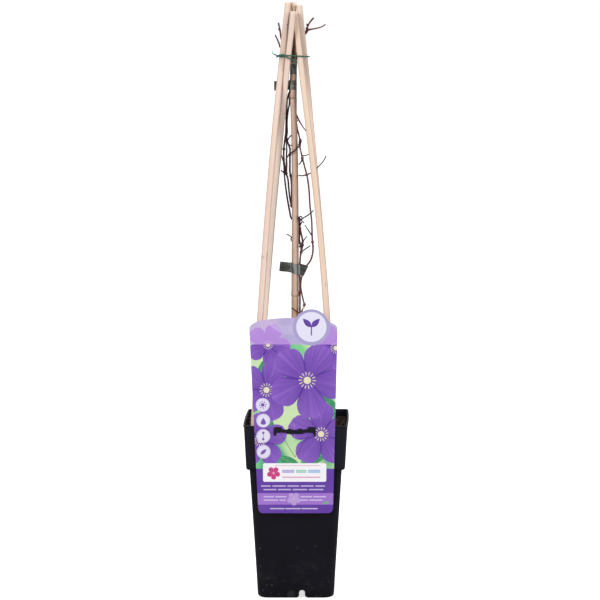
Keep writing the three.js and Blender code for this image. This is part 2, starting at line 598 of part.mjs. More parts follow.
function makeLabel() {
  const sheet = new THREE.ExtrudeGeometry(labelOutline(), {
    depth: LABEL_THICKNESS, bevelEnabled: false, curveSegments: 14,
  });
  sheet.rotateX(Math.PI / 2);
  sheet.translate(0, LABEL_BACK_Y, 0);
  const slot = fuse(lugBoxes(GAP, LABEL_BACK_Y - 6, LABEL_BACK_Y + 6));
  const label = toGeometry(toSolid(sheet).subtract(slot));
  const position = label.attributes.position;
  for (let i = 0; i < position.count; i++) {
    position.setY(i, position.getY(i) - LABEL_LEAN * (position.getZ(i) - LABEL_HANG_Z));
  }
  return label;
}

// Materials

function finish(color, roughness) {
  return new THREE.MeshStandardMaterial({ color, roughness, metalness: 0 });
}

const blackPlastic = () => finish(0x17181b, 0.42);
const peat = () => finish(0x3b2a1f, 0.95);
const pine = () => finish(0xe3bd9b, 0.7);
const bamboo = () => finish(0xc59a63, 0.55);
const bark = () => finish(0x3a2328, 0.75);
const tapePlastic = () => finish(0x3d4642, 0.35);
const greenPlastic = () => finish(0x1f6b4c, 0.4);
const printedPlastic = () => finish(0x7a4bb8, 0.35);

// The whole plant

const group = new THREE.Group();

function addPiece(name, geometry, material) {
  const mesh = new THREE.Mesh(geometry, material);
  mesh.name = name;
  group.add(mesh);
}

addPiece('pot', makePot(), blackPlastic());
addPiece('soil', makeSoil(), peat());
for (const [place, stick] of Object.entries(STICKS)) addPiece(`stick_${place}`, makeStick(stick), pine());
addPiece('cane', makeCane(), bamboo());
addPiece('stem_left', makeStem(STEM_LEFT), bark());
addPiece('stem_right', makeStem(STEM_RIGHT), bark());
addPiece('tape_top', makeTape(TAPE_TOP_ROUTE, TAPE_TOP_WIDTH), tapePlastic());
addPiece('tape_middle', makeTape(TAPE_MIDDLE_ROUTE, TAPE_MIDDLE_WIDTH), tapePlastic());
addPiece('tape_low', makeTape(TAPE_LOW_ROUTE, TAPE_LOW_WIDTH, lowTapeLean), tapePlastic());
addPiece('tie_wire', makeTieWire(), greenPlastic());
addPiece('label', makeLabel(), printedPlastic());

export default group;
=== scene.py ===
import math
import random

import bpy
import numpy as np
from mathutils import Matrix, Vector, noise


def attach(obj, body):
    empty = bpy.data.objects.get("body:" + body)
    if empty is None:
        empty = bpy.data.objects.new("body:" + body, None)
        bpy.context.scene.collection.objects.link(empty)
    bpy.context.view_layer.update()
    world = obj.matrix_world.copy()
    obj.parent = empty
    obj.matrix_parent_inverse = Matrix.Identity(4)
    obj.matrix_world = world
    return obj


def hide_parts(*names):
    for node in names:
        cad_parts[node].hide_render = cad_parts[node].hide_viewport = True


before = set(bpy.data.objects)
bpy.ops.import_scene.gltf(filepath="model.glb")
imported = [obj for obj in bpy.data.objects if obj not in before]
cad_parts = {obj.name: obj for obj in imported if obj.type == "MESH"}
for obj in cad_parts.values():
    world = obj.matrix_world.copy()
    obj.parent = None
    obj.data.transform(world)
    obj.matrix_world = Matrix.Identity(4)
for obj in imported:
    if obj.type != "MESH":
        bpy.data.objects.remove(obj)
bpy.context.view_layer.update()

# Studio
# A white sweep under soft boxes, seen by a long lens from a little above the pot's rim. The sweep glows
# faintly, as a light table does, so the part throws only a soft shadow.

CAMERA_PLACE = (0.0051, -2.8, 0.6968)
CAMERA_PITCH = 0.11642
LENS = 135.28
LAMPS_AIM = (0, 0, 0.38)
SOFT_BOXES = {"left": ((-1.5, -1.5, 1.25), (1.0, 1.5), 30), "right": ((1.7, -0.8, 0.9), (0.7, 1.4), 19),
              "top": ((0, 0.4, 2.1), (1.6, 1.2), 16)}
ROOM_LIGHT, ROOM_STRENGTH = (0.97, 0.985, 1, 1), 0.62
SWEEP_HALF = 200
SWEEP_FELT, SWEEP_SEEN, SWEEP_GLOW = (0.34, 0.34, 0.36), (0.8, 0.8, 0.8), 0.7


class Value:
    """A number, place or colour that a shader works out. It adds and multiplies as plain numbers do."""

    def __init__(self, socket):
        self.socket, self.tree = socket, socket.id_data

    def by(self, operation, *others):
        """One step of arithmetic, by the name that a Math node has for it."""
        return node(self.tree, "Math", dict(enumerate((self, *others))), operation=operation)

    def __add__(self, other):
        return self.by("ADD", other)

    def __sub__(self, other):
        return self.by("SUBTRACT", other)

    def __rsub__(self, number):
        return node(self.tree, "Math", {0: number, 1: self}, operation="SUBTRACT")

    def __mul__(self, other):
        return self.by("MULTIPLY", other)

    def __truediv__(self, other):
        return self.by("DIVIDE", other)

    def __abs__(self):
        return self.by("ABSOLUTE")

    __radd__ = __add__

    def far(self, other):
        """How far away a point is that lies this value along and another across."""
        return (self * self + other * other).by("SQRT")

    def soft(self, low, high):
        """A soft step that rises from 0 to 1 as the value goes from low to high."""
        return node(self.tree, "MapRange", {"Value": self, "From Min": low, "From Max": high},
                    interpolation_type="SMOOTHSTEP")

    def into(self, socket):
        self.tree.links.new(self.socket, socket)


def node(tree, kind, inputs=None, out=0, **settings):
    """Adds a shader node, sets and wires it, and gives back one of its outputs, or all for None."""
    made = tree.nodes.new("ShaderNode" + kind)
    for name, value in settings.items():
        setattr(made, name, value)
    for key, value in (inputs or {}).items():
        if isinstance(value, Value):
            value.into(made.inputs[key])
        else:
            made.inputs[key].default_value = value
    if out is None:
        return {key: Value(socket) for key, socket in [*enumerate(made.outputs), *made.outputs.items()]}
    return Value(made.outputs[out])


def tint(share, under, over):
    """One colour laid over another by a share from 0 to 1."""
    under, over = (colour if isinstance(colour, Value) else (*colour, 1) for colour in (under, over))
    return node(share.tree, "Mix", {0: share, 6: under, 7: over}, 2, data_type="RGBA")


def new_object(name, data):
    made = bpy.data.objects.new(name, data)
    bpy.context.scene.collection.objects.link(made)
    return made


def soft_box(name, place, size, power):
    """A soft box of a given width and height, turned to the middle of the part."""
    lamp = bpy.data.lights.new("softbox_" + name, "AREA")
    lamp.shape = "RECTANGLE"
    lamp.size, lamp.size_y = size
    lamp.energy = power
    holder = new_object(lamp.name, lamp)
    holder.location = place
    towards = Vector(LAMPS_AIM) - Vector(place)
    holder.rotation_euler = towards.to_track_quat("-Z", "Y").to_euler()


lens = bpy.data.cameras.new("camera")
lens.sensor_fit = "HORIZONTAL"
lens.sensor_width = 36
lens.lens = LENS
lens.clip_end = 2 * SWEEP_HALF
camera = new_object("camera", lens)
camera.location = CAMERA_PLACE
camera.rotation_euler = (math.pi / 2 - CAMERA_PITCH, 0, 0)
bpy.context.scene.camera = camera
bpy.context.scene.view_settings.view_transform = "Standard"

for side, (place, size, power) in SOFT_BOXES.items():
    soft_box(side, place, size, power)

world = bpy.data.worlds.new("studio")
world.use_nodes = True
bpy.context.scene.world = world
world.node_tree.nodes.clear()
seen = node(world.node_tree, "Background", {"Color": (1, 1, 1, 1), "Strength": 1.0})
felt = node(world.node_tree, "Background", {"Color": ROOM_LIGHT, "Strength": ROOM_STRENGTH})
direct = node(world.node_tree, "LightPath", out="Is Camera Ray")
either = node(world.node_tree, "MixShader", {0: direct, 1: felt, 2: seen})
node(world.node_tree, "OutputWorld", {"Surface": either}, None)

sweep_shape = bpy.data.meshes.new("sweep")
corners = [(-SWEEP_HALF, -SWEEP_HALF, 0), (SWEEP_HALF, -SWEEP_HALF, 0),
           (SWEEP_HALF, SWEEP_HALF, 0), (-SWEEP_HALF, SWEEP_HALF, 0)]
sweep_shape.from_pydata(corners, [], [(0, 1, 2, 3)])
sweep = new_object("sweep", sweep_shape)
white = bpy.data.materials.new("white_sweep")
white.use_nodes = True
white_shader = white.node_tree.nodes["Principled BSDF"].inputs
white_shader["Roughness"].default_value = 0.9
white_shader["Specular IOR Level"].default_value = 0.1
white_shader["Emission Color"].default_value = (1, 1, 1, 1)
direct = node(white.node_tree, "LightPath", out="Is Camera Ray")
tint(direct, SWEEP_FELT, SWEEP_SEEN).into(white_shader["Base Color"])
(direct * SWEEP_GLOW).into(white_shader["Emission Strength"])
sweep_shape.materials.append(white)

# Pot
# One thin moulding in black plastic: a foot with a drain notch in each side, a tapered body, a wider
# skirt, a rolled lip, and a lug on the lip's front for the label. Millimetres until a mesh is made.

MM = 0.001
POT_HEIGHT = 221
RIM_HALF = 64.3
RIM_Z = 219.1
SKIRT_TOP_HALF = 63.5
SKIRT_BOTTOM_HALF = 61.2
SKIRT_BOTTOM_Z = 167.8
BODY_TOP_HALF = 57
BODY_TOP_Z = 163.6
BODY_BOTTOM_HALF = 47.8
WALL = 1.5
FOOT_WALL = 3
FOOT_ROUNDING = 4
RACK_SHIFT = 1.1
RACK_SKEW = 1.8
SIDE_BULGE = 1.2
CORNER_REACH = 6
FLOOR_Z = 13.5
NOTCH_X = 7.6
NOTCH_HALF = 3.6
NOTCH_ARCH_Z = 7
DRAIN_RADIUS = 4
DRAIN_OFFSET = 21
LUG_CENTRE_X = -1.4
LUG_FRONT_Y = -67
LUG_EDGE = 0.3


def once_round(count):
    """Even angles once round a circle."""
    return np.linspace(0, 2 * math.pi, count, endpoint=False)


def round_points(x, y, radius, angles):
    """Points at some angles round a middle."""
    return [(x + radius * math.cos(a), y + radius * math.sin(a)) for a in angles]


def rounded_square(half, radius, z, corner_steps=8, side_steps=8):
    """Points round a square with round corners, anticlockwise from +X, with points along its sides."""
    arcs = []
    for corner in range(4):
        middle = (corner + 0.5) * math.pi / 2
        x, y = (math.copysign(half - radius, part(middle)) for part in (math.cos, math.sin))
        angles = [(corner + i / corner_steps) * math.pi / 2 for i in range(corner_steps + 1)]
        arcs.append(round_points(x, y, radius, angles))
    points = []
    for arc, following in zip(arcs, arcs[1:] + arcs[:1]):
        points += arc
        for i in range(1, side_steps):
            share = i / side_steps
            points.append([a + (b - a) * share for a, b in zip(arc[-1], following[0])])
    return np.array([(x, y, z) for x, y in points])


def racked(points):
    """Pushes the thin walls askew towards the back and lets their sides bulge, more so higher up."""
    x, y, z = points.T
    height, along = z / POT_HEIGHT, y / RIM_HALF
    side = np.clip((np.abs(x) - np.abs(y)) / CORNER_REACH, 0, 1) * np.sign(x)
    bulge = SIDE_BULGE * side * height ** 3 * (1 - along ** 2)
    return np.column_stack([x + bulge + height * (RACK_SHIFT + RACK_SKEW * along), y, z])


def lofted(rings):
    """A closed body through rings of equally many points, as its points and its faces."""
    count = len(rings[0])
    last = (len(rings) - 1) * count
    faces = [(r + i, r + (i + 1) % count, r + count + (i + 1) % count, r + count + i)
             for r in range(0, last, count) for i in range(count)]
    faces.append(tuple(range(count - 1, -1, -1)))
    faces.append(tuple(range(last, last + count)))
    return np.concatenate(rings), faces


def prism(outline, front, back):
    """A closed body with an outline in x and z, between two depths in y."""
    x, z = np.array(outline, float).T
    rings = [np.column_stack([x, np.full(len(x), y), z]) for y in (back, front)]
    return lofted(rings)


def gathered(bodies):
    """Several bodies as one set of points and faces."""
    points, faces, start = [], [], 0
    for body_points, body_faces in bodies:
        points.append(body_points)
        faces += [tuple(start + i for i in face) for face in body_faces]
        start += len(body_points)
    return np.concatenate(points), faces


def turned(body, quarters):
    """A body turned about the upright axis by a number of quarter turns."""
    points, faces = body
    angle = quarters * math.pi / 2
    x, y = points[:, 0], points[:, 1]
    spun = np.column_stack([x * math.cos(angle) - y * math.sin(angle),
                            x * math.sin(angle) + y * math.cos(angle), points[:, 2]])
    return spun, faces


def to_object(name, body, crease=0.6):
    """A named object in metres from a body in millimetres, smooth but for edges over the crease angle."""
    points, faces = body
    mesh = bpy.data.meshes.new(name)
    mesh.from_pydata((points * MM).tolist(), [], faces)
    mesh.shade_smooth()
    mesh.set_sharp_from_angle(angle=crease)
    return new_object(name, mesh)


def shaped_by(piece, tool, operation):
    """Joins a closed tool shape to a piece, or cuts it out, and takes the tool away."""
    change = piece.modifiers.new("shape", "BOOLEAN")
    change.operation = operation
    change.solver = "EXACT"
    change.object = tool
    view = bpy.context.evaluated_depsgraph_get()
    view.update()
    shaped = bpy.data.meshes.new_from_object(piece.evaluated_get(view))
    piece.modifiers.clear()
    piece.data = shaped
    bpy.data.objects.remove(tool)


foot_inside = BODY_BOTTOM_HALF - FOOT_WALL
foot_round = [(BODY_BOTTOM_HALF - FOOT_ROUNDING * (1 - math.sin(a)), 9.8 + 2.4 * math.sin(a),
               FOOT_ROUNDING * (1 - math.cos(a))) for a in np.linspace(0, math.pi / 2, 8)]
outer_body = [(BODY_BOTTOM_HALF + (BODY_TOP_HALF - BODY_BOTTOM_HALF) * t, 12.2 - 5.7 * t,
               FOOT_ROUNDING + (BODY_TOP_Z - FOOT_ROUNDING) * t) for t in np.linspace(0, 1, 12)][1:]
skirt = [(SKIRT_BOTTOM_HALF + (SKIRT_TOP_HALF - SKIRT_BOTTOM_HALF) * t, 5.4 - 1.4 * t,
          SKIRT_BOTTOM_Z + (RIM_Z - 0.5 - SKIRT_BOTTOM_Z) * t) for t in np.linspace(0, 1, 7)]
skirt_inside = [(half - WALL, radius - 1.2, z) for half, radius, z in skirt[::-1]][:-1]
inner_body = [(BODY_TOP_HALF - WALL - (BODY_TOP_HALF - BODY_BOTTOM_HALF - 0.3) * t, 5.2 + 5.6 * t,
               BODY_TOP_Z + 2 - (BODY_TOP_Z + 1.2 - FLOOR_Z) * t) for t in np.linspace(0, 1, 8)]
# the half width, the corner's radius and the height, from inside the foot up the outside, then down
pot_levels = [
    (foot_inside, 9.5, 12), (foot_inside - 0.2, 9.4, 4), (foot_inside - 1.2, 8.9, 1.4),
    (foot_inside - 2.3, 8.1, 0.15), (foot_inside - 2.6, 8, 0),
    *foot_round, *outer_body,
    (BODY_TOP_HALF + 0.8, 6.4, BODY_TOP_Z + 0.5), (SKIRT_BOTTOM_HALF - 1.6, 6, BODY_TOP_Z + 1),
    (SKIRT_BOTTOM_HALF - 0.8, 5.7, BODY_TOP_Z + 1.6), (SKIRT_BOTTOM_HALF - 0.3, 5.5, BODY_TOP_Z + 2.6),
    *skirt,
    (RIM_HALF - 0.3, 4.2, RIM_Z), (RIM_HALF, 4.2, RIM_Z + 0.35), (RIM_HALF, 4.2, POT_HEIGHT - 0.7),
    (RIM_HALF - 0.2, 4.1, POT_HEIGHT - 0.2), (RIM_HALF - 0.6, 4, POT_HEIGHT),
    (SKIRT_TOP_HALF - 0.9, 3.2, POT_HEIGHT), (SKIRT_TOP_HALF - WALL + 0.1, 3, POT_HEIGHT - 0.7),
    *skirt_inside,
    (SKIRT_BOTTOM_HALF - WALL + 0.1, 4.2, SKIRT_BOTTOM_Z + 0.8),
    (SKIRT_BOTTOM_HALF - WALL - 0.4, 4.3, SKIRT_BOTTOM_Z - 0.4),
    *inner_body,
    (BODY_BOTTOM_HALF - 2, 10, FLOOR_Z),
]
pot_rings = [racked(rounded_square(*level)) for level in pot_levels]
pot = to_object("square_pot", lofted(pot_rings))

# the drain notches and the drain holes, one of each to a side
arch = round_points(NOTCH_X, NOTCH_ARCH_Z, NOTCH_HALF, np.linspace(0, math.pi, 13))
foot_flare = [(NOTCH_X - NOTCH_HALF - 0.2 * u - 4.6 * u * u, 4.8 * (1 - u) ** 1.3 - 0.6 * u)
              for u in np.linspace(0, 1, 9)]
notch = prism(arch + foot_flare + [(2 * NOTCH_X - x, z) for x, z in reversed(foot_flare)], -52, -38)
drain_ring = round_points(DRAIN_OFFSET, DRAIN_OFFSET, DRAIN_RADIUS, once_round(24))
drain = lofted([np.array([(x, y, z) for x, y in drain_ring]) for z in (10, 16)])
openings = gathered([turned(body, side) for side in range(4) for body in (notch, drain)])
shaped_by(pot, to_object("drain_openings", openings), "DIFFERENCE")

# the lug: a bar with two bumps, between end blocks whose feet point down
lug_half = [(0, 216.2), (3.4, 216.3), (5, 216.9), (5.6, 217.5), (7.6, 217.6), (8.5, 216.9), (10.4, 216.3),
            (14.4, 216.8), (16.3, 217.5), (16.6, 219.4), (17.2, 219.7), (21, 219.6), (24.9, 219.3),
            (25.7, 218.6), (25.7, 209.9), (24.9, 208.9), (24, 209.3), (22.4, 212.8), (17.6, 213.1),
            (11.2, 212.9), (9.4, 211.5), (0, 211.5)]
lug_outline = ([(LUG_CENTRE_X - x, z) for x, z in lug_half[1:-1]][::-1]
               + [(LUG_CENTRE_X + x, z) for x, z in lug_half])
lug_outline = lug_outline[::-1]
lug = to_object("lug", prism(lug_outline, LUG_FRONT_Y, 1 - SKIRT_TOP_HALF))
rounding = lug.modifiers.new("rounding", "BEVEL")
rounding.width = LUG_EDGE * MM
rounding.segments = 2
shaped_by(pot, lug, "UNION")
pot.data.shade_smooth()
pot.data.set_sharp_from_angle(angle=0.6)


def shade_noise(place, scale, detail=3.0, roughness=0.5):
    return node(place.tree, "TexNoise",
                {"Vector": place, "Scale": scale, "Detail": detail, "Roughness": roughness})


def stretched(place, scale):
    """A place with each axis multiplied, so that a pattern is drawn out along the smallest."""
    return node(place.tree, "VectorMath", {0: place, 1: scale}, operation="MULTIPLY")


def streaks_in(place, scale, detail=2.0, roughness=0.5):
    """Noise drawn out into streaks along the axis with the smallest scale."""
    return shade_noise(stretched(place, scale), 1.0, detail, roughness)


def parted(value, kind="XYZ"):
    """The three numbers of a place or a colour."""
    return node(value.tree, "Separate" + kind, {0: value}, None)


def new_group(name, inputs, outputs):
    """A shader node group to be filled: its tree, the values it reads and the sockets it feeds."""
    tree = bpy.data.node_groups.new(name, "ShaderNodeTree")
    for title, value in inputs.items():
        kind = "NodeSocketVector" if title == "Place" else "NodeSocketFloat"
        socket = tree.interface.new_socket(title, in_out="INPUT", socket_type=kind)
        if value is not None:
            socket.default_value = value
    for title in outputs:
        tree.interface.new_socket(title, in_out="OUTPUT", socket_type="NodeSocketFloat")
    sources = tree.nodes.new("NodeGroupInput").outputs
    reads = {socket.name: Value(socket) for socket in sources if socket.name}
    return tree, reads, tree.nodes.new("NodeGroupOutput").inputs


def new_surface(name, specular, straight=False):
    """A material, its shader's sockets, and the place on the piece, as it stands or laid out straight."""
    made = bpy.data.materials.new(name)
    made.use_nodes = True
    shader = made.node_tree.nodes["Principled BSDF"].inputs
    shader["Specular IOR Level"].default_value = specular
    if straight:
        place = node(made.node_tree, "Attribute", out="Vector", attribute_name="straight")
    else:
        place = node(made.node_tree, "TexCoord", out="Object")
    return made, shader, place


def finish(shader, colour, roughness, relief, strength, depth):
    """Wires a material's colour, its roughness, and a fine relief of a depth in metres."""
    colour.into(shader["Base Color"])
    roughness.into(shader["Roughness"])
    bump = node(relief.tree, "Bump", {"Strength": strength, "Distance": depth, "Height": relief})
    bump.into(shader["Normal"])


# specks: small round marks at random, of which only a share of the places has one
specks, reads, feeds = new_group("specks", {"Place": None, "Scale": 150.0, "Share": 0.3, "Size": 0.12},
                                 ("Mask",))
cells = node(specks, "TexVoronoi", {"Vector": reads["Place"], "Scale": reads["Scale"]}, None)
chance = parted(cells["Color"], "Color")
chosen = chance[0].by("LESS_THAN", reads["Share"])
edge = reads["Size"] * (0.35 + chance[1])
inside = node(specks, "MapRange", {"Value": cells["Distance"], "From Min": edge, "From Max": edge * 0.6})
(inside * chosen).into(feeds["Mask"])

# mottle: broad soft patches with finer ones in them, from 0 to 1
mottle, reads, feeds = new_group("mottle", {"Place": None, "Scale": 40.0, "Sharpness": 0.5}, ("Patches",))
broad = shade_noise(reads["Place"], reads["Scale"], 5.0, 0.6)
spread = 0.5 - reads["Sharpness"] * 0.4
patches = node(mottle, "MapRange", {"Value": broad, "From Min": spread, "From Max": 1.0 - spread})
patches.into(feeds["Patches"])


def mottled(place, scale, sharpness):
    inputs = {"Place": place, "Scale": scale, "Sharpness": sharpness}
    return node(place.tree, "Group", inputs, node_tree=mottle)


BODY_BLACKS = (0.0034, 0.0033, 0.0062), (0.0052, 0.005, 0.0094)
SKIRT_PAINTED_SHEEN, SCUFFED, SCRATCHED = (0.0092, 0.0088, 0.0158), (0.06, 0.06, 0.068), (0.02, 0.02, 0.026)
DRY_DUST, PEAT_GRAIN = (0.075, 0.06, 0.048), (0.2, 0.16, 0.125)
EARTH, DUST, PEAT_RED = (0.1, 0.06, 0.035), (0.07, 0.07, 0.075), (0.09, 0.035, 0.03)
# single marks on the pot's front: place across and up, reach, darkness of the cover and its colour
POT_MARKS = [
    (-44.8, 64.3, 0.8, 0.6, DUST), (-43.9, 63.7, 0.7, 0.5, DUST), (-45.7, 64.9, 0.7, 0.5, DUST),
    (23.9, 66.5, 0.8, 0.5, DUST), (24.7, 67.4, 0.7, 0.4, DUST), (1.9, 64.8, 0.7, 0.6, EARTH),
    (9.6, 60.7, 0.6, 0.4, DUST), (-44.3, 41.2, 0.9, 0.8, PEAT_RED), (-34.3, 25.7, 0.8, 0.6, EARTH),
    (-15.6, 22.6, 0.7, 0.5, EARTH), (-36.2, 17.3, 0.8, 0.6, EARTH), (-29.9, 16.7, 1, 0.9, EARTH),
    (-40.9, 10.2, 0.9, 0.8, DUST), (3.4, 49.4, 0.6, 0.5, DUST), (21.8, 40.5, 0.6, 0.5, EARTH),
    (40.5, 21.8, 0.7, 0.5, DUST), (32.5, 20.7, 0.7, 0.5, DUST), (-30.6, 6.4, 0.8, 0.6, EARTH),
    (-21.2, 5.2, 0.8, 0.5, EARTH), (25.6, 1.1, 1.2, 0.8, EARTH), (-44, 2, 1.4, 0.7, EARTH),
    (-6, 5, 5, 0.25, DUST),
]
black_plastic, shader, place = new_surface("black_plastic", 0.16)
axes = parted(place)
patches = mottled(place, 22.0, 0.4)
flow = streaks_in(place, (60, 60, 900))
worn = streaks_in(place, (30, 30, 1500)).soft(0.66, 0.76) * shade_noise(place, 30.0).soft(0.5, 0.62)
low = axes["Z"].soft(0.075, 0.0)
dust = shade_noise(place, 45.0, 6.0, 0.65).soft(0.5, 0.72) * low
# painted sheen: the skirt is painted a lighter, bluer black than the body, though it is the same plastic
film = tint(axes["Z"].soft(0.165, 0.169), tint(patches, *BODY_BLACKS), SKIRT_PAINTED_SHEEN)
film = tint(dust * 0.22, film, DRY_DUST)
film = tint(worn * 0.35, film, SCUFFED)
faced = axes["Y"].soft(-0.03, -0.036)
flat = node(place.tree, "CombineXYZ", {0: axes["X"], 2: axes["Z"]})
for x, z, reach, share, colour in POT_MARKS:
    away = node(flat.tree, "VectorMath", {0: flat, 1: (x * MM, 0, z * MM)}, "Value", operation="DISTANCE")
    film = tint(away.soft(reach * 0.0013, reach * 0.0006) * faced * share, film, colour)
scratch = abs(axes["Z"] - 0.0417).soft(0.0007, 0.0003) * abs(axes["X"] + 0.0033).soft(0.0086, 0.0078)
film = tint(scratch * (faced * 0.5), film, SCRATCHED)
grit = node(place.tree, "Group", {"Place": place, "Scale": 170.0, "Share": 0.12, "Size": 0.075}, "Mask",
            node_tree=specks)
shown = grit * (0.12 + low)
gloss = 0.36 + patches * 0.1 + dust.by("MAXIMUM", worn) * 0.25
relief = shade_noise(place, 2600.0, 2.0) * 0.25 + flow * 0.35 + shown * 0.8
finish(shader, tint(shown, film, PEAT_GRAIN), gloss, relief, 0.5, 0.00012)
pot.data.materials.clear()
pot.data.materials.append(black_plastic)
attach(pot, "root")
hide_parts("pot")

# Soil
# Moist peat compost, pressed into the pot by hand: a dark crumbly bed with lumps, bits of fibre and a few
# paler grains lying on it, a little lower round what stands in it.

SOIL_TOP = 213
SOIL_RINGS = 46
CRUMBS = 950
CRUMB_SQUASH = 0.75
FIBRES = 170
STANDING = [(-52.3, -49.6, 7), (-49.8, 49.2, 7), (42.5, -50.1, 7), (45.9, 49.6, 7), (-1.6, 0, 6),
            (8, -6, 3), (5.5, 5, 3)]


def lump(rng, radius):
    """An irregular crumb: a coarse ball pushed in and out, as points and faces in millimetres."""
    rings, sides = 5, 7
    levels = []
    for i in range(rings):
        polar = math.pi * (0.12 + 0.76 * i / (rings - 1))
        turn = rng.random() * math.pi
        levels.append([(radius * math.sin(polar) * math.cos(turn + a) * rng.uniform(0.75, 1.2),
                        radius * math.sin(polar) * math.sin(turn + a) * rng.uniform(0.75, 1.2),
                        -radius * CRUMB_SQUASH * math.cos(polar) * rng.uniform(0.85, 1.1))
                       for a in once_round(sides)])
    points, faces = lofted([np.array(level) for level in levels])
    tilt = Vector((0, 0, 1)).rotation_difference(
        Vector((rng.uniform(-1, 1), rng.uniform(-1, 1), rng.uniform(0.4, 1)))).to_matrix()
    return points @ np.array(tilt).T, faces


def soil_height(x, y):
    """The bed's height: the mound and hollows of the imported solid, then lumps of several sizes."""
    hollows = math.sin(0.62 * x + 0.9) * math.sin(0.55 * y + 0.4) + 0.6 * math.sin(0.33 * x - 0.47 * y)
    mound = math.cos(x / 40) * math.cos(y / 40) - 0.5
    lumps = sum(size * noise.noise((x / wide, y / wide, wide))
                for size, wide in ((1.7, 6.5), (1.5, 3.1), (0.9, 1.4)))
    dip = sum(1.4 * math.exp(-((x - sx) ** 2 + (y - sy) ** 2) / reach ** 2) for sx, sy, reach in STANDING)
    return SOIL_TOP - 0.4 + 0.8 * hollows + 1.1 * mound + lumps - dip


rng = random.Random(11)
soil_levels = [(45.2, 9.6, FLOOR_Z + 0.35), (45.9, 10.3, FLOOR_Z + 1.4), (55, 5, BODY_TOP_Z + 2.3),
               (58.8, 4, SKIRT_BOTTOM_Z - 0.1), (59.2, 3.8, SKIRT_BOTTOM_Z + 1)]
soil_rings = [rounded_square(half, radius, z, 10, 16) for half, radius, z in soil_levels]
for i in range(SOIL_RINGS + 1):
    half = 61.1 * (1 - i / (SOIL_RINGS + 0.5))
    ring = rounded_square(half, half * (0.06 + 0.7 * i / SOIL_RINGS), 0, 10, 16)
    ring[:, 2] = [soil_height(x, y) for x, y, z in ring]
    soil_rings.append(ring)
soil_bodies = [lofted(soil_rings)]
for i in range(CRUMBS):
    x, y = rng.uniform(-59.4, 59.4), rng.uniform(-59.4, 59.4)
    radius = 0.45 + 1.9 * rng.random() ** 3
    points, faces = lump(rng, radius)
    soil_bodies.append((points + (x, y, soil_height(x, y) + 0.25 * radius), faces))
for i in range(FIBRES):
    x, y = rng.uniform(-56, 56), rng.uniform(-56, 56)
    turn, length, thick = rng.uniform(0, 2 * math.pi), rng.uniform(3, 11), rng.uniform(0.12, 0.32)
    bend = rng.uniform(-0.8, 0.8)
    rings = []
    for s in np.linspace(0, 1, 6):
        heading = turn + bend * s
        px, py = x + length * s * math.cos(heading), y + length * s * math.sin(heading)
        pz = soil_height(px, py) + 0.5 + 1.1 * math.sin(math.pi * s)
        side = np.array((-math.sin(heading), math.cos(heading), 0)) * thick
        rings.append(np.array([(px, py, pz) + side, (px, py, pz + thick * 1.2), (px, py, pz) - side,
                               (px, py, pz - thick)]))
    soil_bodies.append(lofted([ring[::-1] for ring in rings]))
points, faces = gathered(soil_bodies)
soil = to_object("peat_bed", (racked(points), faces), 1.1)

PEAT_DARK, PEAT_LIGHT = (0.006, 0.0032, 0.0028), (0.026, 0.0125, 0.009)
PEAT_CRUMB, PEAT_BITS = (0.05, 0.024, 0.016), (0.17, 0.1, 0.065)
peat, shader, place = new_surface("peat", 0.2)
patches = mottled(place, 90.0, 0.7)
crumb = node(place.tree, "TexVoronoi", {"Vector": place, "Scale": 420.0}, None)
chance = parted(crumb["Color"], "Color")
earth = tint(patches, PEAT_DARK, PEAT_LIGHT)
earth = tint(chance[0].soft(0.62, 1.0), earth, PEAT_CRUMB)
earth = tint(chance[1].soft(0.95, 0.98), earth, PEAT_BITS)
rough = shade_noise(place, 900.0, 6.0, 0.7) + crumb["Distance"]
finish(shader, earth, 0.95 - patches * 0.2, rough, 0.9, 0.0009)
soil.data.materials.append(peat)
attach(soil, "root")
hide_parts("soil")

# Pine sticks
# Four sawn and planed sticks, square with softened edges, standing in or near the pot's corners and sprung
# together at the top. Pale sapwood with fine straight grain, a few knots, painted shade down the sides, and
# long streaks of painted shade near the top where the sticks meet.

STICK_FOOT_Z = 168.2
STICK_HALF = 3.85
STICK_TOP_HALF = 3.68
STICK_EDGE = 1.5
STICK_STEP = 6
STICK_NARROWS_Z, STICK_NARROWED_Z = 500, 620
STICKS = {
    "front_left": (738.4, [(168, -54.9, -54), (351, -44.2, -35.5), (496, -33.4, -18.7),
                           (582, -25.9, -10.5), (654, -18.8, -4.6), (700, -13.7, -2.2), (740, -9.2, -0.5)]),
    "back_left": (727.4, [(168, -52.8, 54), (342, -39.9, 35), (493, -27.3, 15), (581, -18.6, 3.6),
                          (654, -11.4, -5.6), (740, -1.4, -15.3)]),
    "front_right": (725, [(168, 43.7, -54), (352, 38.2, -37.5), (496, 25.9, -21.8), (582, 15.9, -13.5),
                          (654, 7.2, -7.9), (740, -3, -3.6)]),
    "back_right": (735, [(168, 47.7, 54), (342, 39.6, 36), (493, 27.3, 19.4), (581, 19.3, 11),
                         (654, 12.8, 6), (740, 3.5, 2.8)]),
}


def rod_line(known, levels):
    """The middle of a bent rod at each level, by a smooth curve through known (z, x, y) points."""
    known = np.array(known, float)
    heights, places = known[:, 0], known[:, 1:]
    secants = np.diff(places, axis=0) / np.diff(heights)[:, None]
    slopes = np.vstack([secants[:1], (secants[1:] + secants[:-1]) / 2, secants[-1:]])
    span = np.clip(np.searchsorted(heights, levels) - 1, 0, len(heights) - 2)
    length = (heights[span + 1] - heights[span])[:, None]
    t = (np.asarray(levels)[:, None] - heights[span][:, None]) / length
    middle = (places[span] * (2 * t ** 3 - 3 * t ** 2 + 1) + places[span + 1] * (3 * t ** 2 - 2 * t ** 3)
              + length * (slopes[span] * (t ** 3 - 2 * t ** 2 + t) + slopes[span + 1] * (t ** 3 - t ** 2)))
    return np.column_stack([middle, levels])


